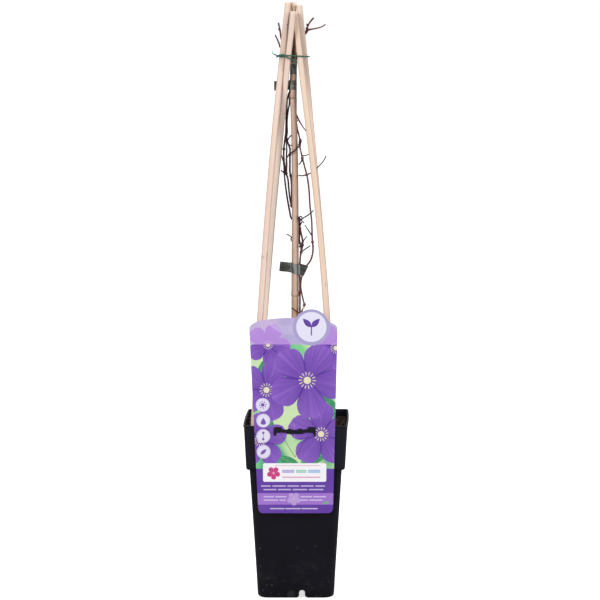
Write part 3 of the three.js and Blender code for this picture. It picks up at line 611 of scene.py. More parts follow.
def straightened(piece, straight):
    """Notes on every point of a piece where it lies in the straight rod, in metres, for its grain."""
    notes = piece.data.attributes.new("straight", "FLOAT_VECTOR", "POINT")
    notes.data.foreach_set("vector", (np.asarray(straight) * MM).astype(np.float32).ravel())


# the straight sticks are noted this far apart, in metres, so that no two get the same grain
STICK_SPACING = 0.04


def make_stick(name, top, known, seed):
    """One bent stick in rings of rounded squares, a little smaller at its two sawn ends."""
    levels = list(np.arange(STICK_FOOT_Z + 1.2, top - 1.2, STICK_STEP))
    levels = np.array([STICK_FOOT_Z, STICK_FOOT_Z + 0.5] + levels + [top - 0.45, top])
    line = rod_line(known, levels)
    rings, straight = [], []
    for i, (x, y, z) in enumerate(line):
        high = min(max((z - STICK_NARROWS_Z) / (STICK_NARROWED_Z - STICK_NARROWS_Z), 0), 1)
        half = STICK_HALF - (STICK_HALF - STICK_TOP_HALF) * high * high * (3 - 2 * high)
        half += 0.05 * math.sin(z / 21 + seed) - (0.35 if i in (0, len(line) - 1) else 0)
        ring = rounded_square(half, STICK_EDGE, 0, 4, 3)
        straight.append(ring + (0, 0, z))
        rings.append(ring + (x, y, z))
    stick = to_object("stick_" + name, lofted(rings), 0.7)
    straightened(stick, np.concatenate(straight) + (STICK_SPACING / MM * seed, 0, 0))
    return stick


# grain: long fibres along Z, with slow bands across them, for anything that grew as a straight rod
grain, reads, feeds = new_group("grain", {"Place": None, "Width": 900.0, "Length": 14.0, "Waver": 0.4},
                                ("Fibres", "Bands", "Relief"))
axes = parted(reads["Place"])
sway = shade_noise(reads["Place"], 9.0, 1.0) * reads["Waver"]
fibre_place = node(grain, "CombineXYZ", {0: axes["X"] * reads["Width"] + sway, 1: axes["Y"] * reads["Width"],
                                         2: axes["Z"] * reads["Length"]})
fibres = shade_noise(fibre_place, 1.0, 4.0, 0.6)
bands = streaks_in(fibre_place, (0.22, 0.22, 0.35))
fibres.soft(0.3, 0.7).into(feeds["Fibres"])
bands.soft(0.35, 0.65).into(feeds["Bands"])
(fibres + bands).into(feeds["Relief"])


def grained(place, width, length, waver):
    inputs = {"Place": place, "Width": width, "Length": length, "Waver": waver}
    return node(place.tree, "Group", inputs, None, node_tree=grain)


PALE_LOW_WOOD, WEATHER_BLOT, EDGE_PAINTED_SHADE = (1, 0.85, 0.73), (0.78, 0.6, 0.48), (0.42, 0.27, 0.2)
KNOT_AND_SHADE_BROWN = (0.13, 0.06, 0.035)


def pine_surface(name, seed, light, dark, paling, knots_and_shade):
    """Planed pine: two wood tones by fibre and band, paler low down, painted shade down the sides, and
    marks, knots and long streaks of painted shade.
    """
    made, shader, place = new_surface(name, 0.3, straight=True)
    axes, veins = parted(place), grained(place, 1500.0, 12.0, 0.9)
    wood = tint(veins["Bands"] * 0.7, light, dark)
    wood = tint(veins["Fibres"] * 0.3, wood, [0.84 * part for part in dark])
    # paler low down, by a share for each stick
    wood = tint(axes["Z"].soft(0.66, 0.56) * paling, wood, PALE_LOW_WOOD)
    wood = tint(mottled(place, 30.0, 0.6) * 0.2, wood, WEATHER_BLOT)
    # painted shade: both sides of each stick are painted a darker brown
    edge_shade = abs(axes["X"] - STICK_SPACING * seed).soft(0.0021, 0.0034)
    wood = tint(edge_shade * 0.58, wood, EDGE_PAINTED_SHADE)
    # knots and marks, and the tall streaks near the top, which are painted shade where the sticks meet
    for height, side, reach, size, share in knots_and_shade:
        up = (axes["Z"] - height * MM) / size
        over = (axes["X"] - (STICK_SPACING * seed + side * MM)) / reach
        ragged = over.far(up) + veins["Fibres"] * 0.0004
        wood = tint(ragged.soft(0.0013, 0.0006) * share, wood, KNOT_AND_SHADE_BROWN)
    finish(shader, wood, 0.55 + veins["Fibres"] * 0.15, veins["Relief"], 0.35, 0.00025)
    return made


# each stick: light and dark wood, how much paler it is low down, and its marks, knots and long streaks of
# painted shade near the top. Each of those has its height, its place across the stick, its reach across and
# upwards, and its darkness.
PINES = {
    # the marks some 25 mm tall near 700 mm, on a stick's side, are painted shade where the sticks come
    # together
    "front_left": ((0.86, 0.68, 0.57), (0.76, 0.55, 0.44), 0.0,
                   [(711, 2.3, 1.8, 0.8, 0.95), (712, 4.1, 2.6, 24, 0.75), (426, -1.5, 2.2, 2.4, 0.22),
                    (427, 3, 1.2, 8, 0.35)]),
    "back_left": ((0.85, 0.68, 0.57), (0.75, 0.55, 0.44), 0.75,
                  [(560, 1, 0.6, 2.2, 0.2), (700, -3.6, 0.9, 26, 0.35)]),
    "front_right": ((0.85, 0.67, 0.525), (0.77, 0.56, 0.41), 0.0,
                    [(393, 1.2, 0.8, 3.5, 0.45), (700, -3.6, 1.1, 30, 0.45)]),
    "back_right": ((0.85, 0.7, 0.61), (0.77, 0.59, 0.49), 0.2, [(640, -1.8, 0.7, 0.8, 0.6)]),
}
for seed, (corner, (top, known)) in enumerate(STICKS.items()):
    stick = make_stick(corner, top, known, seed)
    stick.data.materials.append(pine_surface("pine_" + corner, seed, *PINES[corner]))
    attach(stick, "root")
    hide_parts("stick_" + corner)

# Bamboo cane
# A whole bamboo cane, cut off square and left open at the top, standing deep in the soil. Its two joints
# swell round a sheath scar, and the lower one carries a branch scar on its right.

CANE_FOOT_Z = 100
CANE_TOP_Z = 738.4
CANE_TOP_RADIUS = 3.3
CANE_TAPER = 0.0036
CANE_EVEN_BELOW_Z = 400
CANE_SPREAD, CANE_SPREAD_Z = 0.45, 708
CANE_NECK, CANE_NECK_Z = 0.45, 664
CANE_JOINTS = ((376, 0.4), (622, 0.9))
CANE_SIDES = 32
CANE_BORE = 1.75
CANE_BORE_DEPTH = 14
CANE_END_SHIFT = 60
CANE_END_NOTED = 0.75
CANE_LINE = [(99, -1.8, 0), (369, -1.1, 0), (494, -0.9, 0), (588, -2.2, 0.2), (622, -3.6, 0.5),
             (654, -2.9, 1.4), (700, -3, 4.1), (740, -3.2, 7)]


def cane_radius(z, angle):
    """The cane's radius: a slow taper, swollen joints with a groove under them, and a branch scar."""
    radius = CANE_TOP_RADIUS + CANE_TAPER * (CANE_TOP_Z - max(z, CANE_EVEN_BELOW_Z))
    radius += CANE_SPREAD * max(0, (z - CANE_SPREAD_Z) / 30) ** 2
    radius -= CANE_NECK * math.exp(-((z - CANE_NECK_Z) / 26) ** 4)
    for joint, swelling in CANE_JOINTS:
        radius += swelling * math.exp(-((z - joint - 1.5) / 3.6) ** 2)
        radius -= 0.25 * math.exp(-((z - joint + 2.6) / 1.2) ** 2)
        lip = joint - 1.2 + 0.4 * math.sin(2 * angle + joint)
        radius += 0.4 * swelling * math.exp(-((z - lip) / 0.45) ** 2)
    scar = math.cos(angle + 0.5)
    if scar > 0.4:
        radius += 0.7 * (scar - 0.4) * math.exp(-((z - CANE_JOINTS[0][0] - 1) / 2) ** 2)
    ribs = 0.035 * math.sin(7 * angle + 0.01 * z) + 0.03 * math.sin(3 * angle + 2)
    return radius + ribs + 0.05 * noise.noise((math.cos(angle), math.sin(angle), z / 9))


near_joints = [np.arange(joint - 6, joint + 9, 0.45) for joint, swelling in CANE_JOINTS]
cane_levels = np.unique(np.concatenate([np.arange(CANE_FOOT_Z, CANE_TOP_Z - 4, 6), *near_joints,
                                        [CANE_TOP_Z - 1.2, CANE_TOP_Z - 0.35]]).round(2))
rng = random.Random(5)
cane_rings, cane_straight = [], []
for x, y, z in rod_line(CANE_LINE, cane_levels):
    ring = [(cane_radius(z, a) * math.cos(a), cane_radius(z, a) * math.sin(a), 0)
            for a in once_round(CANE_SIDES)]
    cane_rings.append(np.array(ring) + (x, y, z))
    cane_straight.append(np.array(ring) + (0, 0, z))
for radius, drop, rough in [(3.1, 0.05, 0.12), (2.6, 0.1, 0.2), (2.1, 0.25, 0.25), (CANE_BORE, 0.9, 0.15),
                            (CANE_BORE - 0.1, 5, 0.1), (CANE_BORE - 0.3, CANE_BORE_DEPTH, 0.05)]:
    x, y, z = rod_line(CANE_LINE, [CANE_TOP_Z - drop])[0]
    ring = [((radius + rough * rng.uniform(-0.6, 0.6)) * math.cos(a),
             (radius + rough * rng.uniform(-0.6, 0.6)) * math.sin(a), -rough * rng.random())
            for a in once_round(CANE_SIDES)]
    cane_rings.append(np.array(ring) + (x, y, z))
    cane_straight.append(np.array(ring) + (0, 0, z + CANE_END_SHIFT))
cane = to_object("bamboo_cane", lofted(cane_rings), 0.9)
straightened(cane, np.concatenate(cane_straight))

RIND_TONES = (0.82, 0.6, 0.48), (0.66, 0.45, 0.34)
RIND_STAIN, RIND_BLOTCH = (0.46, 0.29, 0.19), (0.3, 0.17, 0.1)
JOINT_BLOOM, JOINT_SCAR, JOINT_TAN = (0.7, 0.56, 0.44), (0.16, 0.085, 0.05), (0.4, 0.24, 0.15)
TOP_DARK_BROWN, BUFF, DAMP_TAN = (0.1, 0.042, 0.032), (1, 0.82, 0.64), (0.68, 0.42, 0.22)
SIDE_PAINTED_SHADE = (0.25, 0.14, 0.105)
FRESH_CUT, CLEFT_BROWN, PALE_SPOT = (1, 0.84, 0.6), (0.1, 0.05, 0.03), (1, 0.9, 0.82)
PITH_TONES, BORE_PAINTED_SHADE = ((0.36, 0.23, 0.155), (0.13, 0.075, 0.047)), (0.045, 0.027, 0.018)
bamboo, shader, place = new_surface("bamboo", 0.4, straight=True)
axes, veins = parted(place), grained(place, 1900.0, 9.0, 0.5)
blotch = mottled(stretched(place, (1, 1, 0.35)), 260.0, 0.8)
long_stain = mottled(stretched(place, (1, 1, 0.2)), 70.0, 0.7)
rind = tint(long_stain * 0.5, tint(veins["Fibres"], *RIND_TONES), RIND_STAIN)
rind = tint(blotch * 0.22, rind, RIND_BLOTCH)
for joint, swelling in CANE_JOINTS:
    height = axes["Z"] - joint * MM + (shade_noise(place, 350.0) - 0.5) * 0.0016
    for rise, fall, share, colour in (
            ((-0.007, -0.003), (-0.002, -0.003), 0.5, JOINT_BLOOM),
            ((-0.0022, -0.0014), (0.0002, -0.0008), 0.85 * swelling, JOINT_SCAR),
            ((-0.001, 0.001), (0.009, 0.003), 0.8 * (swelling - 0.4), JOINT_TAN)):
        rind = tint(height.soft(*rise) * height.soft(*fall) * share, rind, colour)
# by height in metres: darker brown above the top tape, buff above the lower joint, damp below it, and
# painted shade down both sides. Then the freshly cut top with a cleft in its front, and two pale spots by
# the upper tapes.
# darker brown between the top tape and the cut top
top_darkening = axes["Z"].soft(0.662, 0.67) * axes["Z"].soft(0.73, 0.7) * (0.75 + veins["Bands"] * 0.25)
rind = tint(top_darkening, rind, TOP_DARK_BROWN)
rind = tint(axes["Z"].soft(0.372, 0.377) * axes["Z"].soft(0.52, 0.46) * 0.14, rind, BUFF)
rind = tint(axes["Z"].soft(0.378, 0.372) * 0.5, rind, DAMP_TAN)
# painted shade: both sides of the cane are darker, the right more so
for side, start, end, depth in ((-1, 0.0012, 0.0042, 0.62), (1, 0.0006, 0.0034, 0.86)):
    rind = tint((axes["X"] * side).soft(start, end) * depth, rind, SIDE_PAINTED_SHADE)
fresh = axes["Z"].soft(0.726, 0.73) * 0.85
rind = tint(fresh, rind, FRESH_CUT)
cleft = abs(axes["X"] + (axes["Z"] - 0.732) * 0.35 + 0.0021)
rind = tint(cleft.soft(0.0007, 0.0003) * fresh, rind, CLEFT_BROWN)
# two small pale spots by the upper tapes
for height, aside, reach, tall in ((0.6325, -0.0008, 0.0012, 0.0026), (0.651, 0.0006, 0.001, 0.0024)):
    spot = ((axes["X"] - aside) / reach).far((axes["Z"] - height) / tall)
    rind = tint(spot.soft(1.2, 0.4) * 0.75, rind, PALE_SPOT)
# the cut end and the bore, which are noted higher up than they lie, so that their height tells them apart
pith = tint(veins["Fibres"], *PITH_TONES)
# painted shade: deeper in the bore the pith is painted near black
pith = tint(axes["Z"].soft(0.7965, 0.7982), BORE_PAINTED_SHADE, pith)
rind = tint(axes["Z"].by("GREATER_THAN", CANE_END_NOTED), rind, pith)
finish(shader, rind, 0.42 + blotch * 0.2, veins["Relief"] + blotch * 0.3, 0.4, 0.00022)
cane.data.materials.append(bamboo)
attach(cane, "root")
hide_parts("cane")

# Clematis stems
# Two woody climbing stems as they look in winter, each grown as one piece: ribbed stringy bark, swollen
# joints with dry bud scales, and wiry leaf stalks that held on to what they met and dried there.

STALK_RADIUS = 0.9
STALK_TIP_RADIUS = 0.72
KNUCKLE_RADIUS, KNUCKLE_HALF = 1.9, 2
BUD_RADIUS = 1.4
SHOOT_SPACING = 91.0
# what the points of each part are noted as, for their colour
BARK, STALK, GREEN, PALE = 0.0, 0.3, 0.6, 0.9

# each stem: its girth at the foot, its shoots with how thin they end, its wiry stalks and its joints, all as
# x, y, z from the foot up, and its buds from root to tip with what they are
STEM_RIGHT = {
  "girth": 1.12,
  "shoots": [
    {"thin": 1, "route": [[8, -6, 200], [8, -6, 214], [9, -7, 250], [7.5, -6.5, 300], [5.6, -5.4, 347],
      [7.4, -5.4, 356], [10.2, -5.2, 363], [8.6, -4.6, 372], [6.5, -3.9, 382], [5.9, -3.8, 388],
      [6.5, -3.3, 395], [7.9, -2.6, 400.5], [12.7, -2.1, 411.5], [18.4, -2, 419.5], [20.8, -1.5, 427.5],
      [21.4, -1, 436], [20.7, -1, 442], [20.2, -0.5, 452], [19.5, 0, 470], [17.5, 0, 487], [16.5, 0, 504],
      [15, 0, 518], [13.5, -0.5, 526], [11, -1, 535.5], [8.2, -2, 546.5], [5.2, -3, 559.5], [4.5, -2, 564],
      [4.5, 2, 571.5], [1.6, 6, 583.5], [0.4, 7, 592.5], [0, 7.5, 603.5], [0, 7.5, 618.5], [0, 7, 637],
      [0.3, 8.2, 655.5], [1, 9.3, 673], [3, 10.5, 686], [9, 10.4, 696], [12.6, 8.8, 702], [14.6, 6.6, 709],
      [18, 4, 715], [22, 2.5, 719.5]]},
    {"thin": 0.7, "route": [[12.9, 8.6, 702.6], [17, 5.6, 705], [22.5, 3.5, 706], [32, 1.5, 708.5],
      [36.5, 0.5, 711.5]]},
    {"thin": 0.65, "route": [[0.2, 7.5, 601], [3.4, 6.3, 594], [6.6, 4.8, 588.5], [9.6, 3, 584],
      [12.5, 1, 580.5], [14.2, -0.4, 578.6]]},
    {"thin": 0.6, "route": [[5, -3, 562], [2.5, -5.6, 560.5], [-1.5, -6, 556.5], [-6.5, -5, 553],
      [-9.6, -3, 549.5], [-12.6, -1, 544.6]]},
    {"thin": 0.7, "route": [[6.4, -5.4, 353], [2.6, -6.4, 355], [-1, -6.7, 357], [-5.7, -6, 360.3]]},
  ],
  "stalks": [
    [[13.5, -0.5, 526], [19, -2, 528.5], [25.5, -3, 534], [31, -3, 539.5], [35, -3, 544.5],
      [37.5, -3, 549.5]],
    [[13.5, -0.5, 526], [8, -3, 525], [3.5, -5.2, 525.5]],
    [[7.2, -2.3, 550], [11.5, -3, 550], [16, -4, 551.5]],
    [[8, -2, 546], [6, -4, 541.5], [3.5, -5.4, 539]],
    [[20.4, -0.8, 449.5], [15.5, -3, 457], [11, -4, 464]],
    [[4.5, -2.4, 563.5], [6, -3.5, 565.5], [6.5, -4.5, 568.5], [6, -5, 571]],
    [[4.6, -2.6, 563], [4, -4.5, 566.5], [4.5, -5.5, 568.5]],
  ],
  "knuckles": [[10.2, -5.2, 363], [6.4, -5.4, 353.4], [20.7, -1, 442], [13.5, -0.5, 526], [8, -2, 546.5],
    [4.7, -2.6, 563], [0.4, 7, 592.5], [12.9, 8.6, 702.6], [11.4, 9.3, 700.2], [13.8, 7.7, 706]],
  "buds": [
    ([10.2, -5.2, 363], [12.6, -6.2, 366], BARK),
    ([10.2, -5.4, 363], [8.4, -7.6, 357.6], PALE),
    ([14.6, 6.6, 709], [13.4, 8, 712.6], BARK),
  ],
}

STEM_LEFT = {
  "girth": 1.25,
  "shoots": [
    {"thin": 1, "route": [[5.5, 5, 200], [5.5, 5, 214], [6, 4.5, 260], [5.5, 3.5, 310], [5, 3, 346.5],
      [5, 2.8, 372], [4.9, 2.3, 388], [4.9, 2.3, 412], [5.5, 1.5, 422.5], [6.5, 1, 429.5], [8.3, 1, 438],
      [8, 1, 446], [6.5, 1.7, 452.5], [5, 3, 459], [4, 4.6, 465.5], [1.5, 6, 472.5], [-2.5, 6, 480.5],
      [-5.5, 5, 487], [-7.5, 4, 496.5], [-9, 3.5, 509.5], [-10, 3, 520.5], [-12, 3, 527], [-14.5, 3.5, 540],
      [-15, 4, 556.5], [-13.6, 4, 567.5], [-10.9, 4, 577], [-11, 4, 589.5], [-10.1, 4.2, 601.5],
      [-8.9, 4.6, 609.5], [-8, 5.2, 615], [-8.2, 5.8, 622], [-7.3, 6.2, 633], [-6.2, 7.5, 648],
      [-5.7, 8.3, 660.5], [-5.5, 9.3, 673], [-9.5, 8.5, 682.5], [-14, 6.5, 688.5], [-17.5, 5, 692.5],
      [-19.5, 3.5, 704], [-21.5, 2.5, 713.5]]},
    {"thin": 0.8, "route": [[-14, 6.5, 688.5], [-17.5, 6, 682], [-19.8, 5, 684], [-21.2, 4, 689],
      [-25.5, 3, 698.5]]},
    {"thin": 0.85, "route": [[1.5, 6, 472.5], [-3, 5.8, 469.5], [-5.8, 4.6, 471.5], [-8, 3, 481.5],
      [-10.5, 1.5, 495.5], [-12.5, 1, 509.5], [-14, 2, 522], [-14.5, 3.5, 529], [-14.9, 7.6, 537],
      [-16, 11.6, 543], [-18.6, 15, 551]]},
    {"thin": 1.15, "route": [[-5.5, 5, 487], [-5.2, 5.4, 506.5], [-5.6, 4.2, 517.5], [-6.4, 2.4, 523.5],
      [-7.5, 0.5, 530], [-7.5, 0, 540.5], [-7.5, 0, 551], [-7.5, 1, 558.5], [-10, 3, 565.5], [-12, 4, 574]]},
    {"thin": 0.8, "route": [[-12, 3, 527], [-11.5, 1, 538], [-11.6, 1.5, 548], [-11.4, 3, 559],
      [-12, 4, 574]]},
    {"thin": 0.85, "route": [[-14, 4.2, 566], [-12.5, 5, 576.5], [-12.2, 5.4, 590], [-12, 5.6, 600],
      [-11.3, 5.8, 608], [-11, 5.8, 615], [-10, 5.8, 622.5], [-8.4, 5.8, 628]]},
    {"thin": 0.85, "route": [[5, 3, 459], [4.2, 4, 449], [4.6, 4, 442], [6, 3.5, 435.5], [6.5, 1, 429.5]]},
  ],
  "stalks": [
    [[-14.5, 3.5, 529], [-16.8, 4.6, 529.5], [-18.6, 5.6, 531.5]],
    [[-11, 3.8, 567], [-9, 1, 571], [-6, -4, 575]],
    [[-10, 3, 565], [-8.2, -0.5, 563.5], [-6, -4.6, 562.5]],
    [[8.4, 1, 437], [5.8, -3.5, 439.5], [4, -5.2, 436]],
    [[8, 1, 438], [10, -3, 444.5], [14, -4.5, 450]],
    [[6.5, 1, 429.5], [13, -3, 434.5], [18, -5, 438]],
    [[4, 4.5, 465.5], [5, 2, 469.5], [4.6, -3.5, 473], [6, -5, 475], [7.8, -5, 473]],
    [[4.7, 3.6, 461], [8, 1, 467.5], [10, -1, 466.5]],
    [[5, 1.6, 469.4], [3.8, -3.4, 470.6], [4.4, -5.8, 474], [6.9, -6.4, 474.4], [7.6, -6, 470.8],
      [5.6, -5.8, 468.8], [4.3, -5.2, 471.4]],
    [[4.9, 2, 469.5], [8, 0, 471.5], [15, -4, 476], [22, -6, 482]],
    [[8.2, 1.2, 441], [3.6, 6, 440], [-3.5, 5.8, 441.5], [-6.2, 3, 445], [-6, 1, 448.5], [-8.5, -1, 450.5],
      [-11.5, -2, 452]],
  ],
  "knuckles": [[6.5, 1, 429.5], [8.3, 1, 438], [5, 3, 459], [4, 4.6, 465.5], [1.5, 6, 472.5], [-5.5, 5, 487],
    [-12, 3, 527], [-14.5, 3.5, 529], [-12, 4, 574], [-14, 6.5, 688.5], [-6.5, 2, 524.5], [-7.5, 0, 551],
    [-14.9, 4, 557.5]],
  "buds": [
    ([-14.9, 7.4, 537], [-15.6, 4.9, 543.5], GREEN),
    ([-19.5, 3.5, 704], [-21.8, 4.2, 706.5], BARK),
  ],
}


def smooth_route(route, step):
    """Even steps along a centripetal Catmull-Rom curve through known points, and how far along each is."""
    known = np.array(route, float)
    known = np.vstack([2 * known[0] - known[1], known, 2 * known[-1] - known[-2]])
    t = np.linspace(0, 1, 12, endpoint=False)[:, None]
    fine = []
    for a, b, c, d in zip(known, known[1:], known[2:], known[3:]):
        before, here, after = (np.linalg.norm(q - p) ** 0.5 for p, q in ((a, b), (b, c), (c, d)))
        leave = ((b - a) / before - (c - a) / (before + here) + (c - b) / here) * here
        reach = ((c - b) / here - (d - b) / (here + after) + (d - c) / after) * here
        fine.append(b + leave * t + (3 * (c - b) - 2 * leave - reach) * t ** 2
                    + (2 * (b - c) + leave + reach) * t ** 3)
    fine = np.vstack(fine + [known[-2:-1]])
    far = np.concatenate([[0], np.cumsum(np.linalg.norm(np.diff(fine, axis=0), axis=1))])
    even = np.linspace(0, far[-1], max(3, round(far[-1] / step)) + 1)
    return np.column_stack([np.interp(even, far, fine[:, k]) for k in range(3)]), even


def headings_along(centres):
    """The unit direction of a route at each of its points."""
    headings = np.gradient(centres, axis=0)
    return headings / np.linalg.norm(headings, axis=1)[:, None]


def tube(route, step, sides, radius_at):
    """A closed round body along a route, and the same laid out straight; radius_at(share, far, angles)."""
    centres, far = smooth_route(route, step)
    headings = headings_along(centres)
    side = np.cross(headings[0], (0.3, 1, 0.2))
    angles = once_round(sides)
    rings, straight = [], []
    for centre, heading, along in zip(centres, headings, far):
        side = side - heading * side.dot(heading)
        side /= np.linalg.norm(side)
        radius = radius_at(along / far[-1], along, angles) * np.ones(sides)
        x, y = radius * np.cos(angles), radius * np.sin(angles)
        rings.append(centre + x[:, None] * side + y[:, None] * np.cross(heading, side))
        straight.append(np.column_stack([x, y, np.full(sides, along)]))
    return lofted(rings), np.concatenate(straight)


def bark_radius(thick, thin, seed):
    """Ribs that wind slowly round a shoot, with slight swellings."""
    def radius_at(share, far, angles):
        ribs = 0.1 * np.cos(6 * angles + 0.03 * far + seed) + 0.05 * np.cos(11 * angles - 0.05 * far)
        swell = 0.12 * noise.noise((seed, far / 5, 0)) + 0.06 * noise.noise((seed, far / 1.5, 3))
        return (thick + (thin - thick) * share) * (1 + ribs + swell)
    return radius_at


def joint_radius(share, far, angles):
    """A swollen joint: round, with strings of bark and a ragged ring at its middle."""
    round_off = math.sqrt(max(0.02, 1 - (2 * share - 1) ** 2))
    ring = 0.16 * math.exp(-((share - 0.5) / 0.09) ** 2)
    return KNUCKLE_RADIUS * round_off * (0.92 + 0.1 * np.cos(7 * angles + 5 * share) + ring)


def scale_radius(share, far, angles):
    """One dry scale of a joint's buds, three-sided."""
    return 0.62 * math.sin(math.pi * min(1, 0.3 + 0.68 * share)) * (1 + 0.12 * np.cos(3 * angles)) + 0.04


def bud_radius(share, far, angles):
    """A pointed bud in overlapping scales."""
    swell = math.sin(math.pi * min(1, 0.25 + 0.72 * share))
    scales = 0.1 * np.maximum(0, np.sin(2 * angles + 9 * share)) + 0.05 * np.cos(4 * angles - 14 * share)
    return 0.12 + (BUD_RADIUS - 0.12) * swell * (0.86 + scales)


def make_stem(name, stem, seed):
    """All shoots, stalks, joints and buds of one stem in one object, with notes for its bark."""
    rng = random.Random(seed)
    grown, paths = [], []
    for i, shoot in enumerate(stem["shoots"]):
        radius_at = bark_radius(stem["girth"], shoot["thin"], seed + 7.3 * i)
        grown.append((tube(shoot["route"], 1.1, 14, radius_at), BARK))
        centres = smooth_route(shoot["route"], 1.1)[0]
        paths.append(np.hstack([centres, headings_along(centres)]))
    paths = np.vstack(paths)
    for i, route in enumerate(stem["stalks"]):
        radius_at = bark_radius(STALK_RADIUS, STALK_TIP_RADIUS, seed + 3.1 * i + 50)
        grown.append((tube(route, 0.9, 8, radius_at), STALK))
    for place in np.array(stem["knuckles"], float):
        heading = paths[np.argmin(np.linalg.norm(paths[:, :3] - place, axis=1)), 3:]
        ends = [place - KNUCKLE_HALF * heading, place, place + KNUCKLE_HALF * heading]
        grown.append((tube(ends, 0.35, 16, joint_radius), BARK))
        across = np.cross(heading, (rng.uniform(-0.3, 0.3), 1, rng.uniform(-0.3, 0.3)))
        across /= np.linalg.norm(across)
        for way in (-1, 1):
            root = place + way * 0.7 * across - 0.3 * heading
            tip = root + way * rng.uniform(0.9, 1.5) * across + rng.uniform(1.6, 2.3) * heading
            grown.append((tube([root, tip], 0.35, 8, scale_radius), BARK))
    for start, end, kind in stem["buds"]:
        grown.append((tube([start, end], 0.4, 14, bud_radius), kind))
    piece = to_object(name, gathered([body for (body, straight), kind in grown]), 1.2)
    shift = np.concatenate([np.tile((0, 0, SHOOT_SPACING * i), (len(straight), 1))
                            for i, ((body, straight), kind) in enumerate(grown)])
    straightened(piece, np.concatenate([straight for (body, straight), kind in grown]) + shift)
    kinds = np.concatenate([np.full(len(straight), kind) for (body, straight), kind in grown])
    piece.data.attributes.new("kind", "FLOAT", "POINT").data.foreach_set("value", kinds.astype(np.float32))
    return piece


BARK_DARK, BARK_RED, YOUNG_RED = (0.03, 0.012, 0.02), (0.125, 0.04, 0.036), (0.19, 0.055, 0.055)
BARK_STRING, BARK_FLAKE = (0.17, 0.07, 0.068), (0.022, 0.01, 0.012)
STALK_BROWNS = (0.03, 0.016, 0.03), (0.075, 0.042, 0.06)
BUD_GREENS, BUD_PALES = ((0.13, 0.22, 0.045), (0.3, 0.34, 0.12)), ((0.42, 0.27, 0.2), (0.62, 0.47, 0.36))
bark, shader, place = new_surface("bark", 0.35, straight=True)
world_place = node(place.tree, "TexCoord", out="Object")
axes = parted(world_place)
kind = node(place.tree, "Attribute", out="Fac", attribute_name="kind")
strings = grained(place, 2600.0, 70.0, 1.2)
flaked = mottled(world_place, 420.0, 0.9)
skin = tint(mottled(world_place, 45.0, 0.8), BARK_DARK, BARK_RED)
young = axes["X"].soft(0.0, 0.004).by("MAXIMUM", axes["Z"].soft(0.684, 0.69))
skin = tint(young * 0.7, skin, YOUNG_RED)
skin = tint(strings["Fibres"] * 0.35, skin, BARK_STRING)
skin = tint(flaked * 0.3, skin, BARK_FLAKE)
for start, end, cover in ((BARK, STALK, tint(strings["Bands"], *STALK_BROWNS)),
                          (STALK, GREEN, tint(flaked, *BUD_GREENS)),
                          (GREEN, PALE, tint(flaked, *BUD_PALES))):
    skin = tint(kind.by("GREATER_THAN", (start + end) / 2), skin, cover)
finish(shader, skin, 0.55 + strings["Fibres"] * 0.3, strings["Relief"] + flaked * 0.6, 0.8, 0.0003)
for seed, (name, stem) in enumerate({"stem_left": STEM_LEFT, "stem_right": STEM_RIGHT}.items()):
    vine = make_stem("vine_" + name[5:], stem, 21 + seed)
    vine.data.materials.append(bark)
    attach(vine, "root")
    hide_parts(name)

# Tying tape
# Three ties of thin plastic tape, stretched on edge round what they hold and stuck to themselves. Stretching
# draws the plastic into fine lengthwise streaks, and it puckers where it turns and at its loose ends.

TAPE_THICKNESS = 0.24
TAPE_ROWS = 15
TAPE_SPACING = 37
LOW_TAPE_LEAN, LOW_TAPE_TIP, LOW_TAPE_RIGHT_X = 0.47, 0.1, 12.4
TAPES = {
    "top": (12.3, [(1.2, 10.4, 656.4), (-4.5, 10.8, 656.4), (-7, 9, 656.4), (-7.1, 5.2, 656.4),
                   (-6.8, 1.6, 656.4), (-6.2, -0.2, 656.4), (-4.9, -1.7, 656.4), (-2.9, -2.2, 656.4),
                   (-1, -1.8, 656.4), (0.3, -0.4, 656.4), (0.8, 1.8, 656.4), (1, 4.6, 656.4),
                   (1.2, 7.4, 656.4), (0, 9.4, 656.4), (-3, 9.8, 656.4)]),
    "middle": (11.8, [(-27, 1.4, 636), (-13, 1.6, 636.6), (-9.4, 1.2, 637), (-8.1, -0.5, 637),
                      (-6.5, -2.7, 637), (-3.4, -3.5, 637), (-1, -2.6, 637), (0.3, -0.6, 637),
                      (0.9, 3, 637), (1, 7, 637), (0, 9.2, 637), (-3.4, 9.5, 637), (-7, 9, 637),
                      (-9.3, 7, 637), (-10.6, 4.4, 637), (-13, 2.8, 636.6), (-27, 2.6, 636)]),
    "low": (12, [(-20.3, -3.6, 412), (-12, -3.4, 411.2), (-8, -3.8, 410.7), (-4.6, -5, 410),
                 (-0.5, -5.4, 409), (5.4, -5.3, 407.8), (9.4, -5, 406.6), (11.8, -4.1, 406.2),
                 (12.6, -2, 406), (11.6, 0.3, 406.4), (8.6, 3.9, 407.4), (4.6, 5.7, 408.2),
                 (0, 5.9, 409.2), (-4.4, 4.6, 410), (-6.7, 1.4, 410.4), (-8.3, -1.7, 410.7),
                 (-12, -2.3, 411.2), (-20.3, -2.5, 412)]),
}


